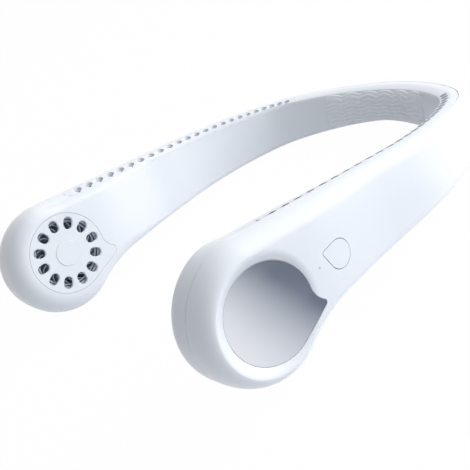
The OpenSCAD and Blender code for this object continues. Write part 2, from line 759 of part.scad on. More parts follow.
module stator_core(side) {
    stand() at_fan(side) {
        tube(core_u, core_t, core_r, sleeve_r);
        difference() {
            union() for (i = [0 : pole_count - 1]) rotate(360 * i / pole_count)
                block(sleeve_r + shoe_t, pole_r - shoe_t / 2, -pole_w / 2, pole_w / 2, core_u, core_u + core_t);
            rod(core_u - over, core_t + 2 * over, sleeve_r);
        }
        difference() {
            tube(core_u, core_t, pole_r, pole_r - shoe_t);
            for (i = [0 : pole_count - 1]) rotate(360 * (i + half_share) / pole_count)
                block(0, 2 * pole_r, -pole_w / 2, pole_w / 2, core_u - over, core_u + core_t + over);
        }
    }
}
module stator_core_left() color("slategray") stator_core(1);
module stator_core_right() color("slategray") stator_core(-1);
module stator_coils(side) {
    r0 = core_r + shoe_t / 4;
    half = pole_w / 2;
    r1 = sqrt(pow(pole_r - shoe_t, 2) - pow(half + coil_w, 2)) - shoe_t / 4;
    stand() at_fan(side) for (i = [0 : pole_count - 1]) rotate(360 * i / pole_count) difference() {
        block(r0, r1, -half - coil_w, half + coil_w, core_u - coil_lip, core_u + core_t + coil_lip);
        block(0, 2 * pole_r, -half, half, core_u, core_u + core_t);
    }
}
module stator_coils_left() color("peru") stator_coils(1);
module stator_coils_right() color("peru") stator_coils(-1);

// Scroll round the impeller, opening to the back at the top
scroll_t = 0.9;
scroll_plate = 0.6;
tongue_way = 60;
scroll_sweep = 330;
scroll_steps = 44;
scroll_h = plate_u + plate_t - intake_t - ledge_t;
scroll_clear = 0.5;
spout_x = fan_s - duct_to - scroll_t / 8;
spout_y = -duct_z - fan_z;
function spiral(grow, first = 0) = [for (i = [first : scroll_steps])
    polar(scroll_r + scroll_growth * i / scroll_steps + grow, tongue_way - scroll_sweep * i / scroll_steps)];
function backwards(list) = [for (i = [len(list) - 1 : -1 : 0]) list[i]];
scroll_end = scroll_r + scroll_growth;
module scroll_wall_shape() {
    polygon(concat([[spout_x, spout_y]], spiral(0), [[spout_x, scroll_end], [spout_x, scroll_end + scroll_t]],
        backwards(spiral(scroll_t, 1)), [[spout_x, spout_y - scroll_t]]));
}
module blower_scroll(side) {
    stand() at_fan(side) translate([0, 0, intake_t + ledge_t]) {
        slab(0, scroll_h) scroll_wall_shape();
        slab(0, scroll_plate) difference() {
            polygon(concat([[spout_x - scroll_t, scroll_end + scroll_t / 2]], backwards(spiral(scroll_t / 2, 1)),
                [[spout_x - scroll_t, spout_y - scroll_t / 2]]));
            circle(r = impeller_r + scroll_clear, $fn = round_fn);
        }
    }
}
module blower_scroll_left() color("whitesmoke") blower_scroll(1);
module blower_scroll_right() color("whitesmoke") blower_scroll(-1);

// Battery cells and their foam
cell_gap = 0.5;
cell_n = -1.6;
cell_edge = 1.5;
cell_cap = 1.5;
foam_l = 20;
foam_h = 5.5;
foam_t = 5;
cell_z = -duct_z - duct_t - cell_gap - cell_h / 2;
module cell_profile(grow = 0) {
    w = cell_h + 2 * grow;
    t = cell_t + 2 * grow;
    square([w - 2 * cell_edge, t], center = true);
    square([w, t - 2 * cell_edge], center = true);
    for (m = [-1, 1]) for (k = [-1, 1]) translate([m * (w / 2 - cell_edge), k * (t / 2 - cell_edge)])
        circle(r = cell_edge, $fn = small_fn);
}
module at_cell(side) {
    at_wall(cell_s, cell_n + cell_t / 2, cell_z, side) rotate([0, quarter, 0]) rotate([0, 0, quarter]) children();
}
module battery(side) {
    stand() at_cell(side) {
        slab(-cell_l / 2, cell_l - cell_cap) cell_profile();
        slab(cell_l / 2 - cell_cap - cell_edge, cell_cap + cell_edge) cell_profile(-cell_edge / 3);
    }
}
module battery_left() color("silver") battery(1);
module battery_right() color("silver") battery(-1);
module battery_pad(side) {
    stand() at_wall(cell_s, cell_n + cell_t, cell_z, side)
        block(-foam_l / 2, foam_l / 2, -cell_h / 2 + cell_gap, foam_h - cell_h / 2, 0, foam_t);
}
module battery_pad_left() color("dimgray") battery_pad(1);
module battery_pad_right() color("dimgray") battery_pad(-1);
rib_x = 12;
rib_t = 1.4;
rib_depth = 2;
rib_foot = 3.5;
module battery_ribs(side) {
    at_wall(cell_s, cell_n, cell_z, side) for (m = [-1, 1]) {
        block(m * rib_x - rib_t / 2, m * rib_x + rib_t / 2, -cell_h / 2 - rib_t, cell_h / 2 + cell_gap,
            -rib_depth, 0);
        block(m * rib_x - rib_t / 2, m * rib_x + rib_t / 2, -cell_h / 2 - rib_t, -cell_h / 2,
            -rib_depth, rib_foot);
    }
}

// Control board, socket, switch and light
board_n = 4.6;
board_t = 1.2;
board_l = 36;
board_h = 18;
board_shift = 44.7;
board_drop = 22;
board_s = head_s - board_shift;
cell_s = board_s - board_l / 2 - cell_room - cell_l / 2;
post_x = [-10, 14];
post_y = 5;
post_r = 2;
pin_r = 0.9;
pin_gap = 0.05;
chip_w = 5;
chip_t = 0.9;
chip_at = [-4, 5];
led_back = 27.4;
led_down = 23.3;
led_w = 1.6;
led_t = 0.7;
socket_s = head_s - socket_back;
button_s = head_s - button_back;
button_z = -button_down;
led_s = head_s - led_back;
led_z = -led_down;
board_floor = board_drop + board_h / 2;
tab_w = socket_w + over;
tab_h = 4.2;
socket_in = 0.4;
switch_w = 4.5;
switch_t = 1.6;
plunger_r = 1.2;
plunger_h = 0.7;
plunger_deep = 0.6;
switch_gap = 0.3;
button_x = board_s - button_s;
button_y = button_z + board_drop;
module at_board() at_wall(board_s, board_n, -board_drop) children();
module main_board() {
    socket_x = board_s - socket_s;
    color("darkgreen") stand() at_board() difference() {
        union() {
            block(-board_l / 2, board_l / 2, -board_h / 2, board_h / 2, 0, board_t);
            block(socket_x - tab_w / 2, socket_x + tab_w / 2, -board_h / 2 - tab_h, 0, 0, board_t);
            translate([chip_at[0], chip_at[1], board_t - chip_t / 2])
                block(-chip_w / 2, chip_w / 2, -chip_w / 2, chip_w / 2, 0, chip_t * 3 / 2);
            translate([board_s - led_s, led_z + board_drop, board_t - led_t / 2])
                block(-led_w / 2, led_w / 2, -led_w / 2, led_w / 2, 0, led_t * 3 / 2);
        }
        for (x = post_x) translate([x, post_y, 0]) rod(-over, 3 * over, pin_r + pin_gap);
    }
}
module board_posts() {
    at_board() for (x = post_x) translate([x, post_y, 0]) {
        root = board_n - inner_face(post_y - board_drop, board_s - x) - wall / 2;
        rod(-root, root, post_r);
        rod(-root, root + board_t + chip_t / 2, pin_r);
    }
}
plug_w = 6;
plug_h = 4;
plug_t = 3.4;
plug_at = [2, -6];
module board_connector() {
    color("ivory") stand() at_board() translate([plug_at[0], plug_at[1], -plug_t]) difference() {
        block(-plug_w / 2, plug_w / 2, -plug_h / 2, plug_h / 2, 0, plug_t);
        block(-plug_w / 2 + chip_t, plug_w / 2 - chip_t, -plug_h / 2 - over, plug_h / 2 - chip_t,
            chip_t, plug_t - chip_t);
    }
}
module at_socket() {
    way = atan(-lower_slope(socket_s));
    at_wall(socket_s, board_n - socket_h / 2, lower_z(socket_s)) rotate([0, 0, way]) rotate([-quarter, 0, 0])
        children();
}
module charging_socket() {
    color("silver") stand() at_socket() difference() {
        slab(socket_in, socket_l) stadium(socket_w, socket_h);
        slab(socket_in - over, socket_l + over - socket_sheet)
            stadium(socket_w - 2 * socket_sheet, socket_h - 2 * socket_sheet);
    }
}
tongue_w = 6.7;
tongue_t = 0.7;
tongue_in = 1.2;
module socket_tongue() {
    color("black") stand() at_socket() {
        slab(tongue_in, socket_l + socket_in - socket_sheet - tongue_in) square([tongue_w, tongue_t], center = true);
        slab(socket_in + socket_l / 2 + tongue_in, socket_l / 2 - socket_sheet - tongue_in)
            stadium(socket_w - 2 * socket_sheet - pin_gap, socket_h - 2 * socket_sheet - pin_gap);
    }
}
module tact_switch() {
    color("dimgray") stand() at_board() translate([button_x, button_y, board_t]) difference() {
        block(-switch_w / 2, switch_w / 2, -switch_w / 2, switch_w / 2, 0, switch_t);
        rod(plunger_deep, over, plunger_r + switch_gap);
    }
}
plunger_from = board_t + plunger_deep + button_travel + 2 * pin_gap;
plunger_top = board_t + switch_t + plunger_h;
module switch_plunger() {
    color("black") stand() at_board() translate([button_x, button_y, 0])
        rod(plunger_from, plunger_top - plunger_from, plunger_r);
}
button_tip = 7.8;
button_tip_way = 153.7;
button_tip_r = 0.9;
button_rise = 0.05;
button_flange = 0.9;
button_flange_t = 0.7;
button_rest = 0.25;
button_post_r = 1.6;
module button_shape(grow = 0) {
    open = acos((button_r - button_tip_r) / button_tip);
    c = polar(button_tip, button_tip_way);
    circle(r = button_r + grow, $fn = round_fn);
    translate(c) circle(r = button_tip_r + grow, $fn = small_fn);
    polygon([polar(button_r + grow, button_tip_way - open), c + polar(button_tip_r + grow, button_tip_way - open), c,
        c + polar(button_tip_r + grow, button_tip_way + open), polar(button_r + grow, button_tip_way + open), [0, 0]]);
}
button_n = outer_face(button_z, button_s);
button_turn = atan(outer_swell * swell_slope(button_s));
module at_button() {
    translate(spot(button_s, button_n, button_z)) rotate([0, 0, button_turn]) rotate([0, -outer_lean, 0]) face_out()
        children();
}
button_foot = -wall - button_rest - button_flange_t;
module power_button() {
    color("white") stand() union() {
        at_button() slab(button_foot, -button_foot + button_rise) button_shape();
        at_button() slab(button_foot, button_flange_t) button_shape(button_gap + button_flange);
        at_board() translate([button_x, button_y, 0])
            rod(plunger_top, button_n - board_n - plunger_top - wall, button_post_r);
    }
}
guide_r = 0.5;
guide_gap = 0.05;
guide_collar = 1.1;
module light_guide() {
    out = outer_face(led_z, led_s) - guide_gap;
    from = board_n + board_t + led_t + guide_gap;
    color("lightcyan") stand() at_wall(led_s, 0, led_z) {
        rod(from, out - from, guide_r);
        rod(out - wall - led_t - 2 * guide_gap, led_t, guide_collar);
    }
}

// Neck pad, a moulded cushion glued in a shallow recess at the back
pad_recess = 0.5;
pad_top = 2.6;
pad_low = 1.6;
pad_bump = 1.1;
pad_end = 3;
pad_round_share = 0.3;
pad_film = 0.05;
pad_cols = 34;
pad_lines = 24;
wave_pitch = 2 * pad_half / pad_waves;
wave_shift = 70;
function pad_squeeze(s) = pad_round_share * pow(max(0, (abs(s) - pad_half + pad_end) / pad_end), 2);
function pad_range(s) =
    let (top = -pad_top + pad_bump * abs(sin(180 * s / wave_pitch)))
    let (low = -back_h + pad_low - (neck_h - back_h) * pow(abs(s) / neck_s, droop_power) / 2)
    let (mid = (top + low) / 2)
    let (half = (top - low) / 2 * (1 - pad_squeeze(s)))
    [mid - half, mid + half];
function pad_thick(s, q) =
    let (e = max(0, 1 - pow(abs(s) / pad_half, 6)))
    let (v = max(0, 1 - pow(abs(2 * q - 1), 4)))
    let (wave = cos(360 * pad_rows * q + wave_shift * cos(360 * s / wave_pitch)))
    pad_recess + pad_t * sqrt(max(0, e * v)) + (pad_crown * (1 - pow(2 * q - 1, 2)) + pad_relief * wave) * e * v;
pad_stations = [for (i = [0 : pad_cols]) pad_half * (2 * i / pad_cols - 1)];
function pad_line(s, q) = let (r = pad_range(s)) r[0] + (r[1] - r[0]) * q;
module neck_pad() {
    color("lightgray") stand() loft([for (s = pad_stations) concat(
        [for (q = [0, 1]) let (z = pad_line(s, q)) spot(s, inner_face(z) + pad_recess, z)],
        [for (j = [pad_lines : -1 : 0])
            let (q = j / pad_lines)
            let (z = pad_line(s, q))
            spot(s, inner_face(z) + pad_recess - max(pad_film, pad_thick(s, q)), z)]
    )]);
}
module pad_cut() {
    loft([for (s = pad_stations) [
        for (p = [[0, 1], [1, 1], [1, 0], [0, 0]])
            let (z = pad_line(s, p[0]))
            spot(s, p[1] > 0 ? inner_face(z) + pad_recess : -inner_n - 2 * over, z)]]);
}

// Screws that draw the frame and the cover together
back_screw_s = 34;
back_screw_z = -9;
screw_sink = 0.25;
seat_u = intake_t + screw_head_t + boss_wall;
back_seat = inner_face(back_screw_z) + pad_recess + screw_sink + screw_head_t + boss_wall;
module each_screw() {
    for (side = [-1, 1]) {
        at_fan(side) translate([screw_at[0], screw_at[1], intake_t]) children();
        at_wall(back_screw_s, inner_face(back_screw_z) + pad_recess + screw_sink, back_screw_z, side) children();
    }
}
module case_screws() {
    color("silver") stand() each_screw() difference() {
        union() {
            rod(guide_gap, screw_head_t - guide_gap, screw_head_r);
            rod(guide_gap, screw_len, screw_r);
        }
        for (a = [0, quarter]) rotate(a) block(-screw_r, screw_r, -screw_r / 4, screw_r / 4, 0, screw_head_t / 2);
    }
}
boss_s = fan_s - screw_at[0];
boss_len = outer_face(fan_z, boss_s) - wall / 2 - fan_n - seat_u;
base_post = disc_n - disc_t - pocket_floor / 2 - fan_n - base_u - base_t;
module outer_cover() {
    color("white") stand() difference() {
        union() {
            band_shell(cover_skin, cover_inside, true);
            for (side = [-1, 1]) {
                disc_cup(side);
                at_fan(side) rod(base_u + base_t, base_post, base_r / 2);
                at_fan(side) translate([screw_at[0], screw_at[1], 0]) rod(seat_u, boss_len, boss_r);
                at_wall(back_screw_s, back_seat, back_screw_z, side)
                    rod(0, outer_n - back_seat - wall / 2, boss_r);
            }
        }
        for (side = [-1, 1]) disc_pocket(side);
        each_screw() rod(screw_head_t + boss_wall / 2, screw_len, screw_r + screw_play);
        at_button() slab(-2 * over, 4 * over) button_shape(button_gap);
        at_wall(led_s, outer_face(led_z, led_s), led_z) rod(-over, 2 * over, guide_r + guide_gap / 2);
    }
}
module inner_frame() {
    color("aliceblue") stand() difference() {
        union() {
            band_shell(frame_skin, frame_inside, false);
            for (side = [-1, 1]) {
                at_fan(side) slab(intake_t - wall / 4, ledge_t + wall / 4) intake_shape(ledge_grow);
                at_fan(side) translate([screw_at[0], screw_at[1], 0]) rod(intake_t, seat_u - intake_t, boss_r);
                at_wall(back_screw_s, 0, back_screw_z, side)
                    rod(back_seat - boss_wall - wall, boss_wall + wall, boss_r);
                battery_ribs(side);
            }
            board_posts();
        }
        for (side = [-1, 1]) {
            on_side(side) run(strip_from - strip_gap, strip_to - strip_end_r, slot_section);
            on_side(side) strip_end(strip_gap);
            at_fan(side) slab(-over, over + intake_t) intake_shape(intake_gap);
            at_fan(side) rod(-over, 4 * over, ledge_in);
        }
        pad_cut();
        each_screw() rod(-over, over + screw_head_t, screw_head_r + screw_play);
        each_screw() rod(0, screw_len, screw_r + screw_play);
        at_socket() slab(-over, 2 * over) stadium(socket_w + 2 * intake_gap, socket_h + 2 * intake_gap);
    }
}

// Wires inside the band
wire_r = 0.9;
wire_fn = 8;
wire_step = 8;
lead = 2;
module wire(route, side = 1) {
    from = route[0][0];
    to = route[len(route) - 1][0];
    count = ceil(abs(to - from) / wire_step);
    function at(s, k) = lookup(s, [for (p = route) [p[0], p[k]]]);
    loft([for (i = [0 : count])
        let (s = from + (to - from) * i / count)
        [for (j = [0 : wire_fn - 1])
            let (a = 360 * j / wire_fn)
            spot(s, at(s, 1) + wire_r * cos(a), at(s, 2) + wire_r * sin(a))]]);
}
loom_z = -13.4;
pair_z = -15.7;
loom_n = 8.6;
loom_back_n = 4;
motor_end = [fan_s - base_r + lead, fan_n + base_u + base_t + wire_r + end_gap, fan_z + lead];
board_end = board_n + board_t + wire_r;
module main_loom() {
    arm_run = s_corner + lead;
    back_run = s_back - lead;
    color("black") stand() {
        wire([[-motor_end[0], motor_end[1], motor_end[2]], [-board_s - 2 * lead, loom_n, loom_z],
            [-arm_run, loom_n, loom_z], [-back_run, loom_back_n, loom_z], [back_run, loom_back_n, loom_z],
            [arm_run, loom_n, loom_z], [board_s - board_l / 2 - 2 * lead, loom_n, loom_z],
            [board_s - board_l / 2 + lead, board_end, loom_z - lead]]);
        wire([[-cell_s + cell_l / 2 - lead, cell_n + cell_t + 2 * lead - wire_r, pair_z],
            [-arm_run, loom_n - lead / 2, pair_z], [-back_run, loom_back_n, pair_z], [back_run, loom_back_n, pair_z],
            [arm_run, loom_n, pair_z], [board_s - board_l / 2 - 2 * lead, loom_n, pair_z],
            [board_s - board_l / 2 + lead, board_end, pair_z - lead]]);
    }
}
module motor_lead_left() {
    color("black") stand() wire([[board_s + board_l / 2 - 3 * lead, board_end, -board_drop + 2 * lead],
        [board_s + board_l / 2, board_end + wire_r, -board_drop + lead], motor_end]);
}
module battery_lead_left() {
    color("black") stand() wire([[cell_s + cell_l / 2 + pin_gap, cell_n + cell_t / 2, cell_z - lead],
        [board_s - board_l / 2 + lead / 4, board_n - lead, -board_drop - 2 * lead],
        [board_s - plug_at[0] - plug_w / 2 - pin_gap, board_n - plug_t / 2, plug_at[1] - board_drop]]);
}

inner_frame();
outer_cover();
neck_pad();
outlet_strip_left();
outlet_strip_right();
intake_cover_left();
intake_cover_right();
intake_cap_left();
intake_cap_right();
mirror_disc_left();
mirror_disc_right();
impeller_left();
impeller_right();
rotor_magnet_left();
rotor_magnet_right();
motor_shaft_left();
motor_shaft_right();
motor_bearing_left();
motor_bearing_right();
motor_base_left();
motor_base_right();
stator_core_left();
stator_core_right();
stator_coils_left();
stator_coils_right();
blower_scroll_left();
blower_scroll_right();
air_duct_left();
air_duct_right();
battery_left();
battery_right();
battery_pad_left();
battery_pad_right();
main_board();
board_connector();
charging_socket();
socket_tongue();
power_button();
switch_plunger();
tact_switch();
light_guide();
main_loom();
motor_lead_left();
battery_lead_left();
case_screws();
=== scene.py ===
import bpy
import bmesh
import math
import numpy as np
from mathutils import Matrix, Vector


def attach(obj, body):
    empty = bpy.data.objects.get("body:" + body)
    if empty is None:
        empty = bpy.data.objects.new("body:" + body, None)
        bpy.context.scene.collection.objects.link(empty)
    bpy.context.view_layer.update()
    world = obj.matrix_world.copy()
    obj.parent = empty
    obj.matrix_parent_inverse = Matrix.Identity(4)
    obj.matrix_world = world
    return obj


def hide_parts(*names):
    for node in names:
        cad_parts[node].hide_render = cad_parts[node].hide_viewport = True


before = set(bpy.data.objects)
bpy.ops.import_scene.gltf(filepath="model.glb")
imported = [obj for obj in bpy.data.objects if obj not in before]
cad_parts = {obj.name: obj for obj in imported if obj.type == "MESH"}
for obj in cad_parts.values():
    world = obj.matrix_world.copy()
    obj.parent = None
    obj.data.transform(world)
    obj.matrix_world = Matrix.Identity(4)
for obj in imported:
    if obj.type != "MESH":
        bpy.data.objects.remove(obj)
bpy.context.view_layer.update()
mm = 0.001
print("frame loaded")

# plan, height and section of the band, in millimetres and degrees
band = dict(
    backRadius=100, backTurn=31.5, cornerRadius=40, cornerTurn=31.5, sideRadius=123, armLength=87.8,
    backHeight=19.2, neckHeight=41.2, neckBack=40.7, droop=1.35, headRadius=28.6,
    armSeam=6.5, headSeam=3.9, innerSwell=7.1, outerSwell=3, swellFrom=73, swellTo=26,
    innerOffset=2.45, outerOffset=11, innerLean=4.9, outerLean=2.9, wall=1.7, topBlend=12,
    frameEdge=3.2, flatRadius=20.9, coverEdge=6, fanBack=1.85, fanUp=2.9,
    flatOffset=2.4, edgeOffset=-1.9, edgeDrop=0.6, edgeBack=0.4, stripTilt=15,
    bendBefore=0.3, bendShare=0.93, bendAfter=0.12,
    tilt=-11.7051, drop=21.2655, shift=97.5886,
    groove=0.11, grooveDepth=0.5, lipDepth=0.14, lipWidth=0.16,
)
b = band
sideTurn = 90 - b["backTurn"] - b["cornerTurn"]
backEnd = b["backRadius"] * math.radians(b["backTurn"])
cornerEnd = backEnd + b["cornerRadius"] * math.radians(b["cornerTurn"])
sideEnd = cornerEnd + b["sideRadius"] * math.radians(sideTurn)
headS = sideEnd + b["armLength"]
neckS = headS - b["neckBack"]
cornerHead = 90 - b["backTurn"]


def ways(angle):
    a = np.radians(angle)
    return np.stack([np.cos(a), np.sin(a)], -1)


backPoint = b["backRadius"] * np.array([
    math.sin(math.radians(b["backTurn"])), math.cos(math.radians(b["backTurn"])) - 1])
cornerPoint = backPoint + b["cornerRadius"] * (ways(sideTurn) - ways(cornerHead))
sidePoint = cornerPoint + b["sideRadius"] * (ways(0) - ways(sideTurn))


def heading(s):
    return np.select(
        [s < backEnd, s < cornerEnd, s < sideEnd],
        [90 - np.degrees(s / b["backRadius"]), cornerHead - np.degrees((s - backEnd) / b["cornerRadius"]),
         sideTurn - np.degrees((s - cornerEnd) / b["sideRadius"])], 0.0)


def planPoint(s):
    h = ways(heading(s))
    onBack = b["backRadius"] * (h - np.array([0, 1]))
    onCorner = backPoint + b["cornerRadius"] * (h - ways(cornerHead))
    onSide = cornerPoint + b["sideRadius"] * (h - ways(sideTurn))
    onArm = np.stack([np.full_like(s, sidePoint[0]), sidePoint[1] - (s - sideEnd)], -1)
    parts = [s < backEnd, s < cornerEnd, s < sideEnd]
    return [np.select(parts, [p[..., k] for p in (onBack, onCorner, onSide)], onArm[..., k]) for k in (0, 1)]


# from millimetres under the flat top to metres of the standing part
def stand(x, y, z):
    t = math.radians(b["tilt"])
    return np.stack([x, y * math.cos(t) - z * math.sin(t) + b["shift"],
                     y * math.sin(t) + z * math.cos(t) + b["drop"]], -1) * mm


# s runs along the hole line, n outwards and z up from the flat top
def place(s, n, z, side=1):
    s, n, z, side = np.broadcast_arrays(*[np.asarray(v, float) for v in (s, n, z, side)])
    m = np.where(s < 0, -side, side)
    s = np.abs(s)
    px, py = planPoint(s)
    h = np.radians(heading(s))
    return stand(m * (px + n * np.cos(h)), py + n * np.sin(h), z)


# 0 on the arm and 1 on the head
def swell(s):
    t = np.clip((s - headS + b["swellFrom"]) / (b["swellFrom"] - b["swellTo"]), 0, 1)
    return t * t * (3 - 2 * t)


def blendOf(a, c, t):
    return a + (c - a) * t


def innerFace(z, s=0.0):
    lean = z * math.tan(math.radians(b["innerLean"]))
    return -b["innerOffset"] + lean - b["innerSwell"] * swell(np.asarray(s, float))


def outerFace(z, s=0.0):
    lean = z * math.tan(math.radians(b["outerLean"]))
    return b["outerOffset"] - lean + b["outerSwell"] * swell(np.asarray(s, float))


def lowerZ(s):
    return -b["backHeight"] - (b["neckHeight"] - b["backHeight"]) * (s / neckS) ** b["droop"]


def lowerSlope(s):
    steepest = -(b["neckHeight"] - b["backHeight"]) * b["droop"] / neckS
    return steepest * (np.maximum(s, 1e-9) / neckS) ** (b["droop"] - 1)


# both rims as one loop of rows: s, z, inward s, inward z, share of the top's profile, side
def rimStations(armStep, filletSteps, rearSteps, frontSteps):
    r = b["headRadius"]
    centre = np.array([headS, -r])
    neckPoint = np.array([neckS, -b["neckHeight"]])
    out = np.array([float(lowerSlope(neckS)), -1.0])
    out /= np.linalg.norm(out)
    v = neckPoint - centre
    filletR = (v @ v - r * r) / (2 * (r - out @ v))
    filletC = neckPoint + filletR * out
    start = math.degrees(math.atan2(-out[1], -out[0]))
    w = centre - filletC
    end = math.degrees(math.atan2(w[1], w[0]))
    s = np.linspace(0, neckS, int(neckS / armStep) + 1)
    slope = lowerSlope(s)
    inward = np.stack([-slope, np.ones_like(s)], -1) / np.sqrt(1 + slope ** 2)[:, None]
    rows = [np.column_stack([s, lowerZ(s), inward])]
    a = np.linspace(start, end, filletSteps + 1)[1:]
    rows.append(np.column_stack([filletC + filletR * ways(a), ways(a)]))
    a = np.linspace(end - 180, -90, rearSteps + 1)[1:]
    rows.append(np.column_stack([centre + r * ways(a), -ways(a)]))
    straight = sum(len(x) for x in rows)
    a = np.linspace(-90, 0, frontSteps + 1)[1:-1]
    rows.append(np.column_stack([centre + r * ways(a), -ways(a)]))
    lower = np.concatenate(rows)
    upper = lower.copy()
    upper[:straight, 1] = 0
    upper[:straight, 2:] = (0, -1)
    upper[straight:, 1] = -2 * r - lower[straight:, 1]
    upper[straight:, 3] *= -1
    share = np.clip((headS + b["topBlend"] - upper[:, 0]) / (2 * b["topBlend"]), 0, 1)
    upper = np.column_stack([upper, share * share * (3 - 2 * share)])
    lower = np.column_stack([lower, np.zeros(len(lower))])
    front = np.array([[headS + r, -r, -1, 0, 0]])
    parts = ((upper, 1), (front, 1), (lower[::-1], 1), (lower[1:], -1), (front, -1), (upper[:0:-1], -1))
    rows = [np.column_stack([part, np.full(len(part), side)]) for part, side in parts]
    return np.concatenate(rows), len(lower)


loop, rims = rimStations(armStep=1.5, filletSteps=14, rearSteps=22, frontSteps=34)
loopS, loopZ, inS, inZ, topShare, loopSide = loop.T
flat, edge, wall = b["flatOffset"], b["edgeOffset"], b["wall"]
slopeDrop = (flat - edge) * math.tan(math.radians(b["stripTilt"]))
cornerN = edge - b["edgeBack"]
cornerDrop = slopeDrop + b["edgeDrop"]
bend = (  # offset and drop just before and just after the edge of the strip's bed
    (edge + b["bendBefore"], slopeDrop * b["bendShare"]), (edge - b["bendAfter"], slopeDrop + b["bendAfter"]))
seamLine = blendOf(b["armSeam"], b["headSeam"], swell(loopS))
roundFrom = blendOf(b["frameEdge"] - b["innerOffset"], cornerN, swell(loopS))
headDepth = b["headRadius"] - b["flatRadius"] - b["fanBack"] * inS + b["fanUp"] * inZ
roundDepth = blendOf(b["frameEdge"], headDepth, swell(loopS))


# one ring around both rims, at a depth below them and a part of the way from n to a face
def ringPoints(depth, n, way, inset, inner):
    s, z = loopS + inS * depth, loopZ + inZ * depth
    face = innerFace(z, s) + inset if inner else outerFace(z, s) - inset
    return place(s, blendOf(n, face, way), z, loopSide)


# the frame's rounded edge; top and rounded each give a first depth, an offset and what the last depth gains
def edgeRings(steps, inset, top, rounded):
    rings = []
    for a in np.linspace(0, 90, steps + 1):
        c, sn = 1 - math.cos(math.radians(a)), math.sin(math.radians(a))
        depths = [first + (roundDepth + more - first) * c for first, n, more in (rounded, top)]
        n = blendOf(rounded[1], top[1], topShare)
        rings.append(ringPoints(blendOf(*depths, topShare), n, sn, inset, True))
    return rings


# a ring of the frame, its depth and offset given for the rounded profile and for the top's
def frameRing(dRound, dTop, nRound, nTop):
    return ringPoints(blendOf(dRound, dTop, topShare), blendOf(nRound, nTop, topShare), 0, 0, True)


def coverRing(depth, n, way=0, inset=0):
    return ringPoints(depth, n, way, inset, False)


# an object with merged points and outward faces, which the booleans need
def solidObject(name, mesh):
    work = bmesh.new()
    work.from_mesh(mesh)
    bmesh.ops.remove_doubles(work, verts=work.verts, dist=1e-7)
    bmesh.ops.recalc_face_normals(work, faces=work.faces)
    if work.calc_volume(signed=True) < 0:
        bmesh.ops.reverse_faces(work, faces=work.faces)
    work.to_mesh(mesh)
    work.free()
    thing = bpy.data.objects.new(name, mesh)
    bpy.context.scene.collection.objects.link(thing)
    return thing


def meshObject(name, points, faces):
    mesh = bpy.data.meshes.new(name)
    mesh.from_pydata(np.asarray(points, float).tolist(), [], [list(f) for f in faces])
    return solidObject(name, mesh)


# closes the rings of a skin and of the hollow behind it into one thin shell
def shellMesh(name, skin, hollow):
    count = len(loop)
    rings = skin + hollow
    k = np.arange(count)
    after = (k + 1) % count

    def join(j, m):
        return np.stack([j * count + k, j * count + after, m * count + after, m * count + k], -1)

    faces = [join(j, j + 1) for j in range(len(skin) - 1)] + [join(len(skin), 0)]
    faces += [join(j + 1, j) for j in range(len(skin), len(rings) - 1)]
    quads = np.concatenate(faces).tolist()
    for j, turned in ((len(skin) - 1, False), (len(rings) - 1, True)):
        o = j * count
        caps = [[o + i, o + i + 1, o + 2 * rims - i - 1, o + 2 * rims - i] for i in range(rims - 1)]
        caps += [[o + 2 * rims + i, o + 2 * rims + i + 1, o + 4 * rims - i - 1, o + (4 * rims - i) % count]
                 for i in range(rims - 1)]
        caps += [[o + t - 1, o + t, o + t + 1] for t in (rims, 3 * rims)]
        quads += [f[::-1] for f in caps] if turned else caps
    return meshObject(name, np.concatenate(rings), quads)


# equal closed outlines in metres, joined in order
def sweepMesh(name, sections, closedEnds=True):
    k, last = len(sections[0]), len(sections) - 1
    faces = [[j * k + i, j * k + (i + 1) % k, (j + 1) * k + (i + 1) % k, (j + 1) * k + i]
             for j in range(last) for i in range(k)]
    if closedEnds:
        faces += [list(range(k))[::-1], [last * k + i for i in range(k)]]
    return meshObject(name, np.concatenate(sections), faces)


def joined(name, things):
    bpy.ops.object.select_all(action="DESELECT")
    for thing in things:
        thing.select_set(True)
    bpy.context.view_layer.objects.active = things[0]
    bpy.ops.object.join()
    things[0].name = name
    return things[0]


# keeps what the modifiers make of a mesh, and drops them
def baked(thing):
    mesh = bpy.data.meshes.new_from_object(thing.evaluated_get(bpy.context.evaluated_depsgraph_get()))
    thing.modifiers.clear()
    thing.data = mesh
    return thing


# boolean steps in order; their helpers go afterwards
def carve(thing, cuts):
    for kind, other in cuts:
        step = thing.modifiers.new(other.name, "BOOLEAN")
        step.operation, step.solver, step.object = kind, "MANIFOLD", other
    baked(thing)
    for kind, other in cuts:
        bpy.data.objects.remove(other)
    return thing


def shade(mesh, angle):
    mesh.shade_smooth()
    mesh.set_sharp_from_angle(angle=math.radians(angle))


# merges near points, and where asked the faces that lie flat with each other
def merge(mesh, distance, flatAngle=None):
    work = bmesh.new()
    work.from_mesh(mesh)
    bmesh.ops.remove_doubles(work, verts=work.verts, dist=distance)
    if flatAngle:
        bmesh.ops.dissolve_limit(
            work, angle_limit=math.radians(flatAngle), verts=work.verts, edges=work.edges)
    work.to_mesh(mesh)
    work.free()


def smoothed(thing, angle=28):
    merge(thing.data, 2e-6)
    shade(thing.data, angle)


# a matrix in metres whose x runs back, y up and z outwards from the band
def localFrame(s, n, z, side, spin=0, lean=0):
    out = Matrix.Identity(3)
    turns = ((b["tilt"], "X"), (float(heading(np.asarray(float(s)))), "Z"), (spin, "Z"), (lean, "Y"))
    for angle, axis in turns:
        out = out @ Matrix.Rotation(math.radians(angle), 3, axis)
    local = out @ Matrix(((0, 0, 1), (1, 0, 0), (0, 1, 0)))
    m = Matrix.Translation(Vector(place(s, n, z, 1))) @ local.to_4x4()
    return Matrix.Diagonal((-1, 1, 1, 1)) @ m if side < 0 else m


def moved(points, m):
    a = np.array(m)
    return np.asarray(points, float) @ a[:3, :3].T + a[:3, 3]


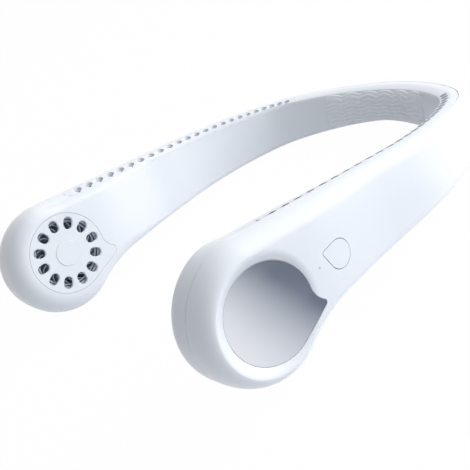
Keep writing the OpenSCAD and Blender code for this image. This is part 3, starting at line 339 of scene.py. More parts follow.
# an outline in local millimetres, between two heights
def prism(name, outline, low, high, m):
    return sweepMesh(name, [moved([(x * mm, y * mm, z * mm) for x, y in outline], m) for z in (low, high)])


# the same prism on the left and on the right, as one helper
def twin(name, outline, low, high, at):
    return joined(name, [prism(name, outline, low, high, at(side)) for side in (1, -1)])


def circlePoints(r, count=96):
    return [(r * math.cos(t), r * math.sin(t)) for t in np.linspace(0, 2 * math.pi, count, endpoint=False)]


def stadiumPoints(length, width, count=16):
    r = width / 2
    out = []
    for start, x in ((-90, length / 2 - r), (90, r - length / 2)):
        for i in range(count + 1):
            a = math.radians(start + 180 * i / count)
            out.append((x + r * math.cos(a), r * math.sin(a)))
    return out


def polarPoint(r, a):
    return np.array([r * math.cos(math.radians(a)), r * math.sin(math.radians(a))])


def arcPoints(centre, r, start, end, count):
    return [centre + polarPoint(r, blendOf(start, end, i / count)) for i in range(count + 1)]


# a circle with one drawn-out tip, its upper side hollow and its lower side straight
def finOutline(shape, grow=0, sweepSteps=18):
    r, tip, way, tipR, sweepR = (shape[k] for k in ("radius", "tip", "tipWay", "tipRadius", "sweep"))
    tipC = polarPoint(tip, way)
    low = way - math.degrees(math.acos((r - tipR) / tip))
    far, near = r + sweepR, tipR + sweepR
    leave = way + math.degrees(math.acos((far * far + tip * tip - near * near) / (2 * tip * far)))
    sweepC = polarPoint(far, leave)
    up = math.degrees(math.atan2(sweepC[1] - tipC[1], sweepC[0] - tipC[0]))
    out = arcPoints(0, r + grow, leave, low + 360, count=160)
    out += arcPoints(tipC, tipR + grow, low, up, count=20)
    for i in range(1, sweepSteps):
        out.append(sweepC + polarPoint(sweepR - grow, blendOf(up, leave, i / sweepSteps) + 180))
    return out


# one socket of a node tree; arithmetic on it adds Math nodes
class Wire:
    def __init__(self, tree, socket):
        self.tree, self.socket = tree, socket

    def calc(self, kind, *values):
        node = self.tree.nodes.new("ShaderNodeMath")
        node.operation = kind
        for slot, value in zip(node.inputs, values):
            feed(self.tree, slot, value)
        return Wire(self.tree, node.outputs[0])

    def __add__(self, other): return self.calc("ADD", self, other)
    def __radd__(self, other): return self.calc("ADD", other, self)
    def __sub__(self, other): return self.calc("SUBTRACT", self, other)
    def __rsub__(self, other): return self.calc("SUBTRACT", other, self)
    def __mul__(self, other): return self.calc("MULTIPLY", self, other)
    def __truediv__(self, other): return self.calc("DIVIDE", self, other)


def feed(tree, slot, value):
    if isinstance(value, Wire):
        tree.links.new(value.socket, slot)
    else:
        slot.default_value = value


# a node tree; node() adds a node, its inputs named by label or as i and a number
class Board:
    def __init__(self, tree):
        self.tree = tree

    def node(self, kind, settings=None, out=0, **inputs):
        node = self.tree.nodes.new(kind)
        for key, value in (settings or {}).items():
            if key == "stops":
                ramp = node.color_ramp
                while len(ramp.elements) < len(value):
                    ramp.elements.new(0.5)
                for element, (at, colour) in zip(ramp.elements, value):
                    element.position, element.color = at, colour
            else:
                setattr(node, key, value)
        for key, value in inputs.items():
            byNumber = key[0] == "i" and key[1:].isdigit()
            feed(self.tree, node.inputs[int(key[1:]) if byNumber else key.replace("_", " ")], value)
        return Wire(self.tree, node.outputs[out])

    # the three parts of a texture coordinate
    def axes(self, out):
        split = self.tree.nodes.new("ShaderNodeSeparateXYZ")
        feed(self.tree, split.inputs[0], self.node("ShaderNodeTexCoord", out=out))
        return [Wire(self.tree, s) for s in split.outputs]

    # 1 for the rays that come from the camera, off a glossy face or through a clear one
    def rays(self):
        outputs = self.tree.nodes.new("ShaderNodeLightPath").outputs
        return [Wire(self.tree, outputs[f"Is {kind} Ray"]) for kind in ("Camera", "Glossy", "Transmission")]


# a Principled material; build gets the board and the Principled node
def finish(name, colour, roughness, build, **fixed):
    material = bpy.data.materials.new(name)
    material.use_nodes = True
    shader = material.node_tree.nodes["Principled BSDF"]
    shader.inputs["Base Color"].default_value = (*colour, 1)
    shader.inputs["Roughness"].default_value = roughness
    for key, value in fixed.items():
        shader.inputs[key.replace("_", " ")].default_value = value
    build(Board(material.node_tree), shader)
    return material


# fine moulding grain and wide soft clouds, in colour, roughness and bump
grainLook = dict(fine=4, wide=22, tintFrom=0.35, tintGain=10, fineRough=0.08, wideRough=0.06, bump=0.18)


def moulded(scale=900, depth=0.012, mottle=0.02, tint=(0.80, 0.83, 0.885)):
    def build(board, shader):
        g = grainLook
        where = board.node("ShaderNodeTexCoord", out="Object")
        grain = board.node("ShaderNodeTexNoise", Vector=where, Scale=scale * g["fine"], Detail=3.0)
        cloud = board.node("ShaderNodeTexNoise", Vector=where, Scale=scale / g["wide"], Detail=2.0)
        base = tuple(shader.inputs["Base Color"].default_value)
        share = (cloud - g["tintFrom"]) * mottle * g["tintGain"]
        colour = board.node("ShaderNodeMix", {"data_type": "RGBA"}, out=2, i0=share, i6=base, i7=(*tint, 1))
        feed(board.tree, shader.inputs["Base Color"], colour)
        rough = shader.inputs["Roughness"]
        level = rough.default_value + (grain - 0.5) * g["fineRough"] + (cloud - 0.5) * g["wideRough"]
        feed(board.tree, rough, level)
        bump = board.node("ShaderNodeBump", Strength=g["bump"], Distance=depth * mm, Height=grain)
        feed(board.tree, shader.inputs["Normal"], bump)
    return build


# streaks along y, in roughness and bump
streakLook = dict(across=6, along=0.5, rough=0.2, bump=0.1, depth=0.01)


def brushed(scale=700):
    def build(board, shader):
        k = streakLook
        where = board.node("ShaderNodeTexCoord", out="Object")
        across, along = scale * k["across"], scale * k["along"]
        streak = board.node("ShaderNodeMapping", Vector=where, Scale=(across, along, across))
        lines = board.node("ShaderNodeTexNoise", Vector=streak, Scale=1.0, Detail=3.0)
        rough = shader.inputs["Roughness"]
        feed(board.tree, rough, rough.default_value + (lines - 0.5) * k["rough"])
        bump = board.node("ShaderNodeBump", Strength=k["bump"], Distance=k["depth"] * mm, Height=lines)
        feed(board.tree, shader.inputs["Normal"], bump)
    return build


pale = (0.83, 0.855, 0.90)
finishes = dict(
    shell=finish("satinShell", pale, 0.32, moulded(), Coat_Weight=0.25, Coat_Roughness=0.25),
    frame=finish("satinFrame", pale, 0.36, moulded(), Coat_Weight=0.15, Coat_Roughness=0.3),
    strip=finish("stripPlastic", (0.82, 0.845, 0.89), 0.38, moulded()),
    button=finish("buttonPlastic", pale, 0.3, moulded(), Coat_Weight=0.25, Coat_Roughness=0.25),
    pad=finish("softSilicone", (0.86, 0.875, 0.91), 0.55, moulded(500, 0.03, 0.03, (0.82, 0.845, 0.885)),
               Sheen_Weight=0.15),
    disc=finish("mirrorFilm", (0.80, 0.82, 0.87), 0.14, brushed(20), Metallic=1.0),
    rotor=finish("rotorPlastic", (0.58, 0.64, 0.73), 0.45, moulded(600, 0.02, 0.03, (0.52, 0.58, 0.68))),
    inside=finish("innerPlastic", (0.62, 0.66, 0.74), 0.5, moulded(600, 0.02, 0.03, (0.55, 0.59, 0.68))),
    dark=finish("darkPlastic", (0.03, 0.03, 0.035), 0.45, moulded(600, 0.02, 0.02, (0.05, 0.05, 0.06))),
    magnet=finish("magnetRing", (0.08, 0.08, 0.09), 0.5, moulded(800, 0.02, 0.03, (0.12, 0.12, 0.13)),
                  Metallic=0.6),
    steel=finish("turnedSteel", (0.62, 0.63, 0.65), 0.28, brushed(), Metallic=1.0),
    bearing=finish("sinteredBronze", (0.62, 0.45, 0.24), 0.42, moulded(1500, 0.02, 0.04, (0.50, 0.34, 0.18)),
                   Metallic=1.0),
    board=finish("boardMask", (0.03, 0.16, 0.09), 0.35, moulded(1200, 0.02, 0.03, (0.02, 0.11, 0.06)),
                 Coat_Weight=0.4),
    coil=finish("enamelWire", (0.60, 0.25, 0.10), 0.35, brushed(1500), Metallic=0.8),
    cell=finish("pouchFoil", (0.66, 0.67, 0.69), 0.3, brushed(150), Metallic=0.9),
    foam=finish("openFoam", (0.10, 0.10, 0.11), 0.9, moulded(1200, 0.2, 0.05, (0.16, 0.16, 0.17))),
    ivory=finish("plugPlastic", (0.80, 0.76, 0.64), 0.45, moulded(600)),
    lens=finish("clearGuide", (0.55, 0.60, 0.68), 0.15, moulded(900, 0.005)),
    wire=finish("wireJacket", (0.03, 0.03, 0.03), 0.5, moulded(1200, 0.02, 0.02, (0.05, 0.05, 0.05))),
)
print("materials made")


def dress(thing, key):
    thing.data.materials.clear()
    thing.data.materials.append(finishes[key])
    return thing


def settle(thing, body, node):
    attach(thing, body)
    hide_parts(node)


# a merged and smooth copy of a node's mesh
def copyOfNode(node, name, angle=30):
    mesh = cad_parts[node].data.copy()
    mesh.name = name
    thing = bpy.data.objects.new(name, mesh)
    bpy.context.scene.collection.objects.link(thing)
    for label in ("custom_normal", "sharp_edge", "sharp_face"):
        if label in mesh.attributes:
            mesh.attributes.remove(mesh.attributes[label])
    merge(mesh, 4e-6, flatAngle=0.6)
    shade(mesh, angle)
    return thing


# rounds the sharp edges and keeps the flat faces flat
def softEdges(thing, width, angle=40, segments=2, sharpFrom=50):
    step = thing.modifiers.new("edge", "BEVEL")
    step.width, step.segments = width * mm, segments
    step.limit_method, step.angle_limit = "ANGLE", math.radians(angle)
    baked(thing)
    shade(thing.data, sharpFrom)
    thing.modifiers.new("weigh", "WEIGHTED_NORMAL").keep_sharp = True
    baked(thing)


# inner frame: from the groove of the seam over its lip, across the top and round the inner edge
grooveIn = seamLine - b["groove"]
skin = [
    frameRing(b["grooveDepth"], b["grooveDepth"], grooveIn, grooveIn),
    frameRing(b["lipDepth"], b["lipDepth"], grooveIn, grooveIn),
    frameRing(0.0, 0.0, grooveIn - b["lipWidth"], grooveIn - b["lipWidth"]),
]
topRows = (  # part of the way to the rounded edge, drop and offset under the strip
    (0.3, 0.0, flat + 0.4), (0.5, 0.04, flat - 0.2), (0.7, slopeDrop * 0.5, blendOf(flat, edge, 0.5)),
    (0.85, bend[0][1], bend[0][0]), (0.93, bend[1][1], bend[1][0]),
)
skin += [frameRing(0.0, fall, blendOf(seamLine, roundFrom, part), n) for part, fall, n in topRows]
skin += edgeRings(steps=12, inset=0, top=(cornerDrop, cornerN, 0.0), rounded=(0.0, roundFrom, 0.0))
hidden = dict(step=0.01, groove=0.6, wall=0.8, edge=0.4)  # how far the hollow keeps behind the skin
grooveFoot = b["grooveDepth"] + hidden["step"]
hollow = [
    frameRing(grooveFoot, grooveFoot, grooveIn - hidden["groove"], grooveIn - hidden["groove"]),
    frameRing(wall, wall, grooveIn - hidden["wall"], grooveIn - hidden["wall"]),
    frameRing(wall, wall, roundFrom + hidden["edge"], flat - wall),
]
hollow += edgeRings(
    steps=4, inset=wall, top=(wall + slopeDrop, edge + wall, wall / 2), rounded=(wall, roundFrom, 0.0))
innerShell = shellMesh("innerFrameShell", skin, hollow)

# outer cover: from the groove over its lip and round the outer edge
grooveOut = seamLine + b["groove"]
skin = [
    coverRing(b["grooveDepth"], grooveOut), coverRing(b["lipDepth"], grooveOut),
    coverRing(0.0, grooveOut + b["lipWidth"]),
]
hollow = [coverRing(grooveFoot, grooveOut + hidden["groove"]), coverRing(wall, grooveOut + hidden["wall"])]
for rings, angles, inset in ((skin, np.linspace(6, 90, 15), 0), (hollow, (25, 50, 70, 90), wall)):
    for a in angles:
        c, sn = 1 - math.cos(math.radians(a)), math.sin(math.radians(a))
        rings.append(coverRing(inset + (b["coverEdge"] - inset) * c, seamLine, sn, inset))
outerShell = shellMesh("outerCoverShell", skin, hollow)
print("shells made")

# outlet strips: their holes get longer and wider apart towards the head
strip = dict(
    count=24, even=8, pitchFront=6.85, pitchBack=4.5, firstBack=23.6, lengthFront=5.5, lengthBack=3.7,
    widthFront=4.2, widthBack=3.3, holeDepth=8, thick=1.35, tail=5, lead=7.2, shift=0.3, land=0.25,
    leg=3.1, legThick=1.4, gap=0.1, clear=0.05, above=2,
)
holeFirst = headS - strip["firstBack"]


def holeS(i):
    k = max(0, i - strip["even"] + 1)
    fall = strip["count"] - strip["even"]
    closer = (strip["pitchFront"] - strip["pitchBack"]) * k * (k + 1) / 2 / fall
    return holeFirst - i * strip["pitchFront"] + closer


stripFrom, stripTo = holeS(strip["count"] - 1) - strip["tail"], holeFirst + strip["lead"]
stripSide = float(innerFace(-strip["leg"]))
landN = flat + strip["land"]
endR, endN = (landN - cornerN) / 2, (landN + cornerN) / 2


# stations along a strip, close together round its front end
def stripStations(grow, step, reach, count):
    front = [stripTo - endR + (endR + grow) * math.sin(a) for a in np.linspace(0, math.pi / 2 * reach, count)]
    return list(np.arange(stripFrom - grow, stripTo - endR, step)) + front


# share of a strip's half width at s
def endWidth(s, grow):
    past = s - (stripTo - endR)
    if past <= 0:
        return 1.0
    return math.sqrt(max(0.0, 1 - (past / (endR + grow)) ** 2))


def slotSections(side):
    out = []
    gap, foot = strip["gap"], -strip["leg"] - strip["clear"]
    for s in stripStations(gap, step=1.5, reach=0.98, count=12):
        w = endWidth(s, gap)
        high = endN + (landN + gap - endN) * w
        low = endN + (stripSide - gap - endN) * w if s > stripTo - endR else stripSide - gap
        out.append(place([s] * 4, [high, low, low, high], [strip["above"], strip["above"], foot, foot], side))
    return out


slotCut = joined("slotCut", [sweepMesh("slotCut", slotSections(side)) for side in (1, -1)])

# intake side of a head
intake = dict(radius=20.5, tip=24.8, tipWay=-21.4, tipRadius=2.5, sweep=8, gap=0.15, depth=1.2, opening=19.2,
              ledge=1.6, ledgeAbove=0.4, ledgeBelow=1.2)
fanS, fanZ = headS - b["fanBack"], b["fanUp"] - b["headRadius"]
fanN = float(innerFace(fanZ, fanS))


def atFan(side):
    return localFrame(fanS, fanN, fanZ, side, lean=b["innerLean"])


intakeCut = twin("intakeCut", finOutline(intake, intake["gap"]), low=-2, high=intake["depth"], at=atFan)
openingCut = twin("openingCut", circlePoints(intake["opening"]), low=-3, high=6, at=atFan)

# recess of the neck cushion, its upper edge in waves
pad = dict(half=38, thick=1.3, crown=1.0, relief=0.35, waves=6, rows=8, recess=0.5, top=2.6, low=1.6, bump=1.1,
           end=3, round=0.3, wavePhase=45, endPower=8, sidePower=6, wavePower=0.8, cutReach=6.5)
padPitch = 2 * pad["half"] / pad["waves"]


def padRange(s):
    top = -pad["top"] + pad["bump"] * np.abs(np.sin(np.pi * s / padPitch))
    droop = (b["neckHeight"] - b["backHeight"]) * (np.abs(s) / neckS) ** b["droop"] / 2
    low = -b["backHeight"] + pad["low"] - droop
    mid, half = (top + low) / 2, (top - low) / 2
    past = np.maximum(0, (np.abs(s) - pad["half"] + pad["end"]) / pad["end"])
    half = half * (1 - pad["round"] * past ** 2)
    return mid - half, mid + half


padSections = []
for s in np.linspace(-pad["half"], pad["half"], 140):
    low, high = (float(z) for z in padRange(np.array(s)))
    floors = [float(innerFace(z)) + pad["recess"] for z in (low, high)]
    padSections.append(place([s] * 4, floors + [-pad["cutReach"]] * 2, [low, high, high, low]))
padCut = sweepMesh("padCut", padSections)

# mouth of the charging socket in the lower edge
socket = dict(back=56.6, width=8.94, height=3.2, n=3.0, gap=0.15)
socketS = headS - socket["back"]
socketM = localFrame(socketS, socket["n"], float(lowerZ(socketS)), 1)
socketM = socketM @ Matrix.Rotation(math.atan(-float(lowerSlope(socketS))), 4, "Z")
socketM = socketM @ Matrix.Rotation(math.radians(-90), 4, "X")
mouth = stadiumPoints(socket["width"] + 2 * socket["gap"], socket["height"] + 2 * socket["gap"])
socketCut = prism("socketCut", mouth, low=-2, high=4, m=socketM)
ledge = twin("ledge", finOutline(intake, intake["ledge"]), low=intake["depth"] - intake["ledgeAbove"],
             high=intake["depth"] + intake["ledgeBelow"], at=atFan)
carve(innerShell, [("UNION", ledge)] + [
    ("DIFFERENCE", cut) for cut in (slotCut, intakeCut, openingCut, padCut, socketCut)])
smoothed(innerShell)
settle(dress(innerShell, "frame"), "band", "inner_frame")
print("inner frame cut", len(innerShell.data.polygons))

# outlet side of a head: the disc, and the funnel from its edge to the crest of the head
disc = dict(radius=19.4, tip=23.8, tipWay=-16.7, tipRadius=1.3, sweep=8.5, gap=0.15, thick=0.9, floor=1.4,
            wall=1.4, n=13, back=1.9, down=0.8, up=5, forward=5.5, crest=22.3, inset=0.8, cupBelow=0.35)


def atDisc(side):
    n, z = disc["n"], -b["headRadius"] - disc["down"]
    return localFrame(headS - disc["back"], n, z, side, -disc["forward"], -disc["up"])


def atOuter(side):
    n = float(outerFace(-b["headRadius"], headS))
    return localFrame(headS, n, -b["headRadius"], side, lean=-b["outerLean"])


# convex body between the disc's edge and the crest
def funnel(name, side, grow, top, count=160):
    low = [(x * mm, y * mm, -grow * mm) for x, y in circlePoints(disc["radius"] + disc["gap"] + grow, count)]
    high = [(x * mm, y * mm, z * mm) for z in top for x, y in circlePoints(disc["crest"] + grow, count)]
    work = bmesh.new()
    for p in np.concatenate([moved(low, atDisc(side)), moved(high, atOuter(side))]):
        work.verts.new(p)
    bmesh.ops.convex_hull(work, input=work.verts)
    bmesh.ops.delete(work, geom=[v for v in work.verts if not v.link_faces], context="VERTS")
    mesh = bpy.data.meshes.new(name)
    work.to_mesh(mesh)
    work.free()
    return solidObject(name, mesh)


# takes the sharp ridge off between the outer face and the funnel
def crestCut(name, side, reach=1.7, height=2.5, steps=150, arc=9):
    sections = []
    for i in range(steps):
        c, sn = math.cos(2 * math.pi * i / steps), math.sin(2 * math.pi * i / steps)
        crest, foot = disc["crest"], disc["radius"] + disc["gap"]
        rows = ((crest, 0, atOuter), (crest + 1, 0, atOuter), (foot, 0, atDisc), (crest, mm, atOuter))
        ridge, *ends = [moved([(r * c * mm, r * sn * mm, z)], at(side))[0] for r, z, at in rows]
        out, down, lift = [(end - ridge) / np.linalg.norm(end - ridge) for end in ends]
        far, near = ridge + out * reach * mm, ridge + down * reach * mm
        curve = [(1 - t) ** 2 * far + 2 * t * (1 - t) * ridge + t * t * near for t in np.linspace(0, 1, arc)]
        sections.append(np.array(curve + [near + (lift * height - out) * mm, far + lift * height * mm]))
    sections.append(sections[0])
    return sweepMesh(name, sections, False)


cupFin = twin("cupFin", finOutline(disc, disc["gap"] + disc["wall"]), low=-disc["thick"] - disc["floor"],
              high=-disc["cupBelow"], at=atDisc)
cupFunnel = joined("cupFunnel", [
    funnel("cupFunnel", side, grow=disc["wall"], top=(-disc["inset"],)) for side in (1, -1)])
pocket = twin("pocket", finOutline(disc, disc["gap"]), low=-disc["thick"], high=5, at=atDisc)
funnelCut = joined("funnelCut", [funnel("funnelCut", side, grow=0, top=(-0.05, 2)) for side in (1, -1)])
ridgeCut = joined("ridgeCut", [crestCut("ridgeCut", side) for side in (1, -1)])

# opening of the button, and the button's frame along the swelling arm
button = dict(radius=5.7, tip=7.8, tipWay=153.7, tipRadius=0.9, gap=0.3, back=38.8, down=22.9,
              skirt=1.95, overlap=0.35, base=2.65, flange=0.9, rise=0.03, margin=3, skin=3)
buttonS = headS - button["back"]
swellShare = (buttonS - headS + b["swellFrom"]) / (b["swellFrom"] - b["swellTo"])
swellSlope = b["outerSwell"] * 6 * swellShare * (1 - swellShare) / (b["swellFrom"] - b["swellTo"])
buttonN = float(outerFace(-button["down"], buttonS))
buttonM = localFrame(
    buttonS, buttonN, -button["down"], 1, math.degrees(math.atan(swellSlope)), -b["outerLean"])


# a drop: a circle with one straight-sided tip
def buttonOutline(grow):
    r, tip, way, tipR = (button[k] for k in ("radius", "tip", "tipWay", "tipRadius"))
    spread = math.degrees(math.acos((r - tipR) / tip))
    out = arcPoints(0, r + grow, way + spread, way - spread + 360, count=90)
    return out + arcPoints(polarPoint(tip, way), tipR + grow, way - spread, way + spread, count=24)


buttonCut = prism("buttonCut", buttonOutline(button["gap"]), low=-5, high=4, m=buttonM)

# hole of the light
light = dict(back=27.4, down=23.3, radius=0.53)
lightS = headS - light["back"]
lightM = localFrame(lightS, float(outerFace(-light["down"], lightS)), -light["down"], 1)
lightCut = prism("lightCut", circlePoints(light["radius"], count=24), low=-4, high=3, m=lightM)
carve(outerShell, [("UNION", cup) for cup in (cupFin, cupFunnel)] + [
    ("DIFFERENCE", cut) for cut in (pocket, funnelCut, ridgeCut, buttonCut, lightCut)])
smoothed(outerShell)
settle(dress(outerShell, "shell"), "band", "outer_cover")
print("outer cover cut", len(outerShell.data.polygons))

# perforation of the strips: a geometry tree puts one oval cutter on each point of the hole line
holeSizes = (("Length First", "lengthFront"), ("Length Last", "lengthBack"), ("Width First", "widthFront"),
             ("Width Last", "widthBack"), ("Depth", "holeDepth"))


def perforationTree():
    tree = bpy.data.node_groups.new("perforation", "GeometryNodeTree")

    def newSocket(label, kind, way="INPUT"):
        return tree.interface.new_socket(label, in_out=way, socket_type="NodeSocket" + kind)

    newSocket("Geometry", "Geometry")
    for label, key in holeSizes:
        newSocket(label, "Float").default_value = strip[key] * mm
    newSocket("Hole Line", "Object")
    newSocket("Finish", "Material")
    newSocket("Geometry", "Geometry", "OUTPUT")
    board = Board(tree)
    enter = tree.nodes.new("NodeGroupInput")
    leave = tree.nodes.new("NodeGroupOutput")
    inputs = {s.name: Wire(tree, s) for s in enter.outputs}
    line = board.node("GeometryNodeObjectInfo", out="Geometry", Object=inputs["Hole Line"])
    share = board.node("GeometryNodeInputNamedAttribute", {"data_type": "FLOAT"}, Name="share")
    turn = board.node("GeometryNodeInputNamedAttribute", {"data_type": "FLOAT_VECTOR"}, Name="turn")
    long = inputs["Length First"] + (inputs["Length Last"] - inputs["Length First"]) * share
    wide = inputs["Width First"] + (inputs["Width Last"] - inputs["Width First"]) * share
    tool = board.node("GeometryNodeMeshCylinder", Vertices=40, Radius=0.5, Depth=1.0)
    size = board.node("ShaderNodeCombineXYZ", X=long, Y=wide, Z=inputs["Depth"])
    put = board.node("GeometryNodeInstanceOnPoints", Points=line, Instance=tool, Rotation=turn, Scale=size)
    real = board.node("GeometryNodeRealizeInstances", Geometry=put)
    cut = tree.nodes.new("GeometryNodeMeshBoolean")
    cut.operation, cut.solver = "DIFFERENCE", "EXACT"
    tree.links.new(enter.outputs["Geometry"], cut.inputs[0])
    tree.links.new(real.socket, cut.inputs[1])
    whole = board.node("GeometryNodeRealizeInstances", Geometry=Wire(tree, cut.outputs[0]))
    done = board.node("GeometryNodeSetMaterial", Geometry=whole, Material=inputs["Finish"])
    tree.links.new(done.socket, leave.inputs[0])
    return tree


# runs a geometry tree on an object, with values for its named inputs
def treeResult(thing, tree, values):
    step = thing.modifiers.new(tree.name, "NODES")
    step.node_group = tree
    for item in tree.interface.items_tree:
        if item.in_out == "INPUT" and item.name in values:
            step[item.identifier] = values[item.name]
    bpy.context.view_layer.update()
    baked(thing)


# a point per hole, with its share of the way and the turn of its cutter
def holePoints(side):
    centres, turns, shares = [], [], []
    for i in range(strip["count"]):
        m = localFrame(holeS(i), strip["shift"], 0, side)
        m = m @ Matrix.Rotation(math.radians(b["stripTilt"] - 90), 4, "X")
        centres.append(tuple(m.translation))
        turns += (m.to_3x3() @ Matrix.Diagonal((side, 1, 1))).to_euler("XYZ")
        shares.append(i / (strip["count"] - 1))
    mesh = bpy.data.meshes.new("holeLine")
    mesh.from_pydata(centres, [], [])
    mesh.attributes.new("share", "FLOAT", "POINT").data.foreach_set("value", shares)
    mesh.attributes.new("turn", "FLOAT_VECTOR", "POINT").data.foreach_set("vector", turns)
    thing = bpy.data.objects.new("holeLine", mesh)
    bpy.context.scene.collection.objects.link(thing)
    return thing


perforation = perforationTree()
shelf = -wall - strip["clear"] - strip["thick"] / 2
legSide = stripSide + strip["legThick"]
stripRows = (
    (landN, 0.0), (flat, 0.0), (blendOf(flat, edge, 0.5), -slopeDrop / 2), *((n, -fall) for n, fall in bend),
    (cornerN, -cornerDrop), (stripSide, -strip["leg"]), (legSide, -strip["leg"]), (legSide, shelf),
    (landN, shelf),
)
for side, tag in ((1, "left"), (-1, "right")):
    outlines = []
    for s in stripStations(0, step=1.1, reach=0.97, count=14):
        w = endWidth(s, 0)
        offsets = [endN + (n - endN) * w for n, z in stripRows]
        outlines.append(place([s] * len(stripRows), offsets, [z for n, z in stripRows], side))
    piece = sweepMesh("outletStrip" + tag.capitalize(), outlines)
    holeLine = holePoints(side)
    sizes = {label: strip[key] * mm for label, key in holeSizes}
    treeResult(piece, perforation, {**sizes, "Hole Line": holeLine, "Finish": finishes["strip"]})
    bpy.data.objects.remove(holeLine)
    smoothed(piece, angle=30)
    settle(piece, "band", "outlet_strip_" + tag)
print("outlet strips made")


# height of the cushion above the floor of its recess; q runs from its lower to its upper edge
def padRelief(s, q):
    ends = np.maximum(0, 1 - (np.abs(s) / pad["half"]) ** pad["endPower"])
    sides = np.maximum(0, 1 - np.abs(2 * q - 1) ** pad["sidePower"])
    phase = pad["wavePhase"] / 360 * np.cos(2 * np.pi * s / padPitch)
    wave = np.cos(2 * np.pi * (pad["rows"] * q + phase))
    sharp = np.sign(wave) * np.abs(wave) ** pad["wavePower"]
    body = pad["recess"] + pad["thick"] * np.sqrt(np.maximum(0, ends * sides))
    return body + (pad["crown"] * (1 - (2 * q - 1) ** 2) + pad["relief"] * sharp) * ends * sides


# the columns and lines of the cushion lie closer together at its edges
net = dict(columns=260, lines=150, endPower=1.15, sideGather=0.25, sunk=0.02)
u = np.linspace(-1, 1, net["columns"] + 1)
padS = pad["half"] * np.sign(u) * (1 - (1 - np.abs(u)) ** net["endPower"])
v = np.linspace(0, 1, net["lines"] + 1)
padQ = 0.5 - 0.5 * np.cos(np.pi * v) * (1 - net["sideGather"] * np.sin(np.pi * v) ** 2)
padColumns = []
for s in padS:
    low, high = (float(z) for z in padRange(np.array(s)))
    z = low + (high - low) * padQ
    base = innerFace(z) + pad["recess"] - net["sunk"]
    face = place(s, base - padRelief(s, padQ), z)
    padColumns.append(np.concatenate([face, place(s, base[::-1][[0, -1]], z[::-1][[0, -1]])]))
cushion = sweepMesh("neckCushion", padColumns)
smoothed(cushion, angle=60)
settle(dress(cushion, "pad"), "band", "neck_pad")
print("neck cushion made")

# smooth copies of the small pieces that show
copies = (
    ("intake_cover_left", "intakeCoverLeft", "band", "shell", "frame"),
    ("intake_cover_right", "intakeCoverRight", "band", "shell", "frame"),
    ("intake_cap_left", "intakeCapLeft", "band", "strip", "frame"),
    ("intake_cap_right", "intakeCapRight", "band", "strip", "frame"),
    ("impeller_left", "impellerLeft", "impeller_left", "rotor", "rotor"),
    ("impeller_right", "impellerRight", "impeller_right", "rotor", "rotor"),
    ("light_guide", "lightGuide", "band", "lens", "lens"),
    ("charging_socket", "chargingSocket", "band", "steel", "steel"),
)
for node, name, body, slot, key in copies:
    piece = copyOfNode(node, name)
    if "Cap" in name:
        softEdges(piece, width=0.25)
    settle(dress(piece, key), body, node)

for side, tag in ((1, "left"), (-1, "right")):
    mirror = prism("mirrorDisc" + tag.capitalize(), finOutline(disc), -disc["thick"], 0, atDisc(side))
    softEdges(mirror, width=0.12)
    settle(dress(mirror, "disc"), "band", "mirror_disc_" + tag)
print("copies and discs made")


# a block whose upper face follows the outer face between two s and two z
def skinBlock(name, s0, s1, z0, z1, lift, deep, steps=40):
    sGrid, zGrid = np.meshgrid(np.linspace(s0, s1, steps + 1), np.linspace(z0, z1, steps + 1))
    top, low = (place(sGrid, outerFace(zGrid, sGrid) + h, zGrid).reshape(-1, 3) for h in (lift, -deep))
    m = steps + 1
    o = m * m
    cells = [[j * m + i, j * m + i + 1, (j + 1) * m + i + 1, (j + 1) * m + i]
             for j in range(steps) for i in range(steps)]
    rim = list(range(m)) + [j * m + steps for j in range(1, m)]
    rim += [steps * m + i for i in range(steps - 1, -1, -1)] + [j * m for j in range(steps - 1, 0, -1)]
    walls = [[i, k, k + o, i + o] for i, k in zip(rim, rim[1:] + rim[:1])]
    under = [[v + o for v in f[::-1]] for f in cells]
    return meshObject(name, np.concatenate([top, low]), cells + under + walls)


# the button's top follows the skin of the cover; its flange is wider than the opening
buttonBody = prism("powerButton", buttonOutline(0), low=-button["skirt"] - button["overlap"], high=2,
                   m=buttonM)
reach = button["tip"] + button["margin"]
buttonSkin = skinBlock("buttonSkin", buttonS - reach, buttonS + reach, -button["down"] - reach,
                       -button["down"] + reach, button["rise"], button["skin"])
carve(buttonBody, [("INTERSECT", buttonSkin)])
flange = prism("buttonFlange", buttonOutline(button["gap"] + button["flange"]), low=-button["base"],
               high=-button["skirt"], m=buttonM)
carve(buttonBody, [("UNION", flange)])
smoothed(buttonBody)
settle(dress(buttonBody, "button"), "power_button", "power_button")

# the nodes that stay as they are
nodeFinish = dict(
    inner_frame="frame", outer_cover="shell", neck_pad="pad", outlet_strip="strip", intake_cover="frame",
    intake_cap="frame", mirror_disc="disc", impeller="rotor", rotor_magnet="magnet", motor_shaft="steel",
    motor_bearing="bearing", motor_base="board", stator_core="steel", stator_coils="coil",
    blower_scroll="inside", air_duct="inside", battery="cell", battery_pad="foam", main_board="board",
    board_connector="ivory", charging_socket="steel", socket_tongue="dark", power_button="button",
    switch_plunger="dark", tact_switch="dark", light_guide="lens", main_loom="wire", motor_lead="wire",
    battery_lead="wire", case_screws="steel",
)
for name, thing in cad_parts.items():
    dress(thing, nodeFinish[name.replace("_left", "").replace("_right", "")])
print("nodes dressed")

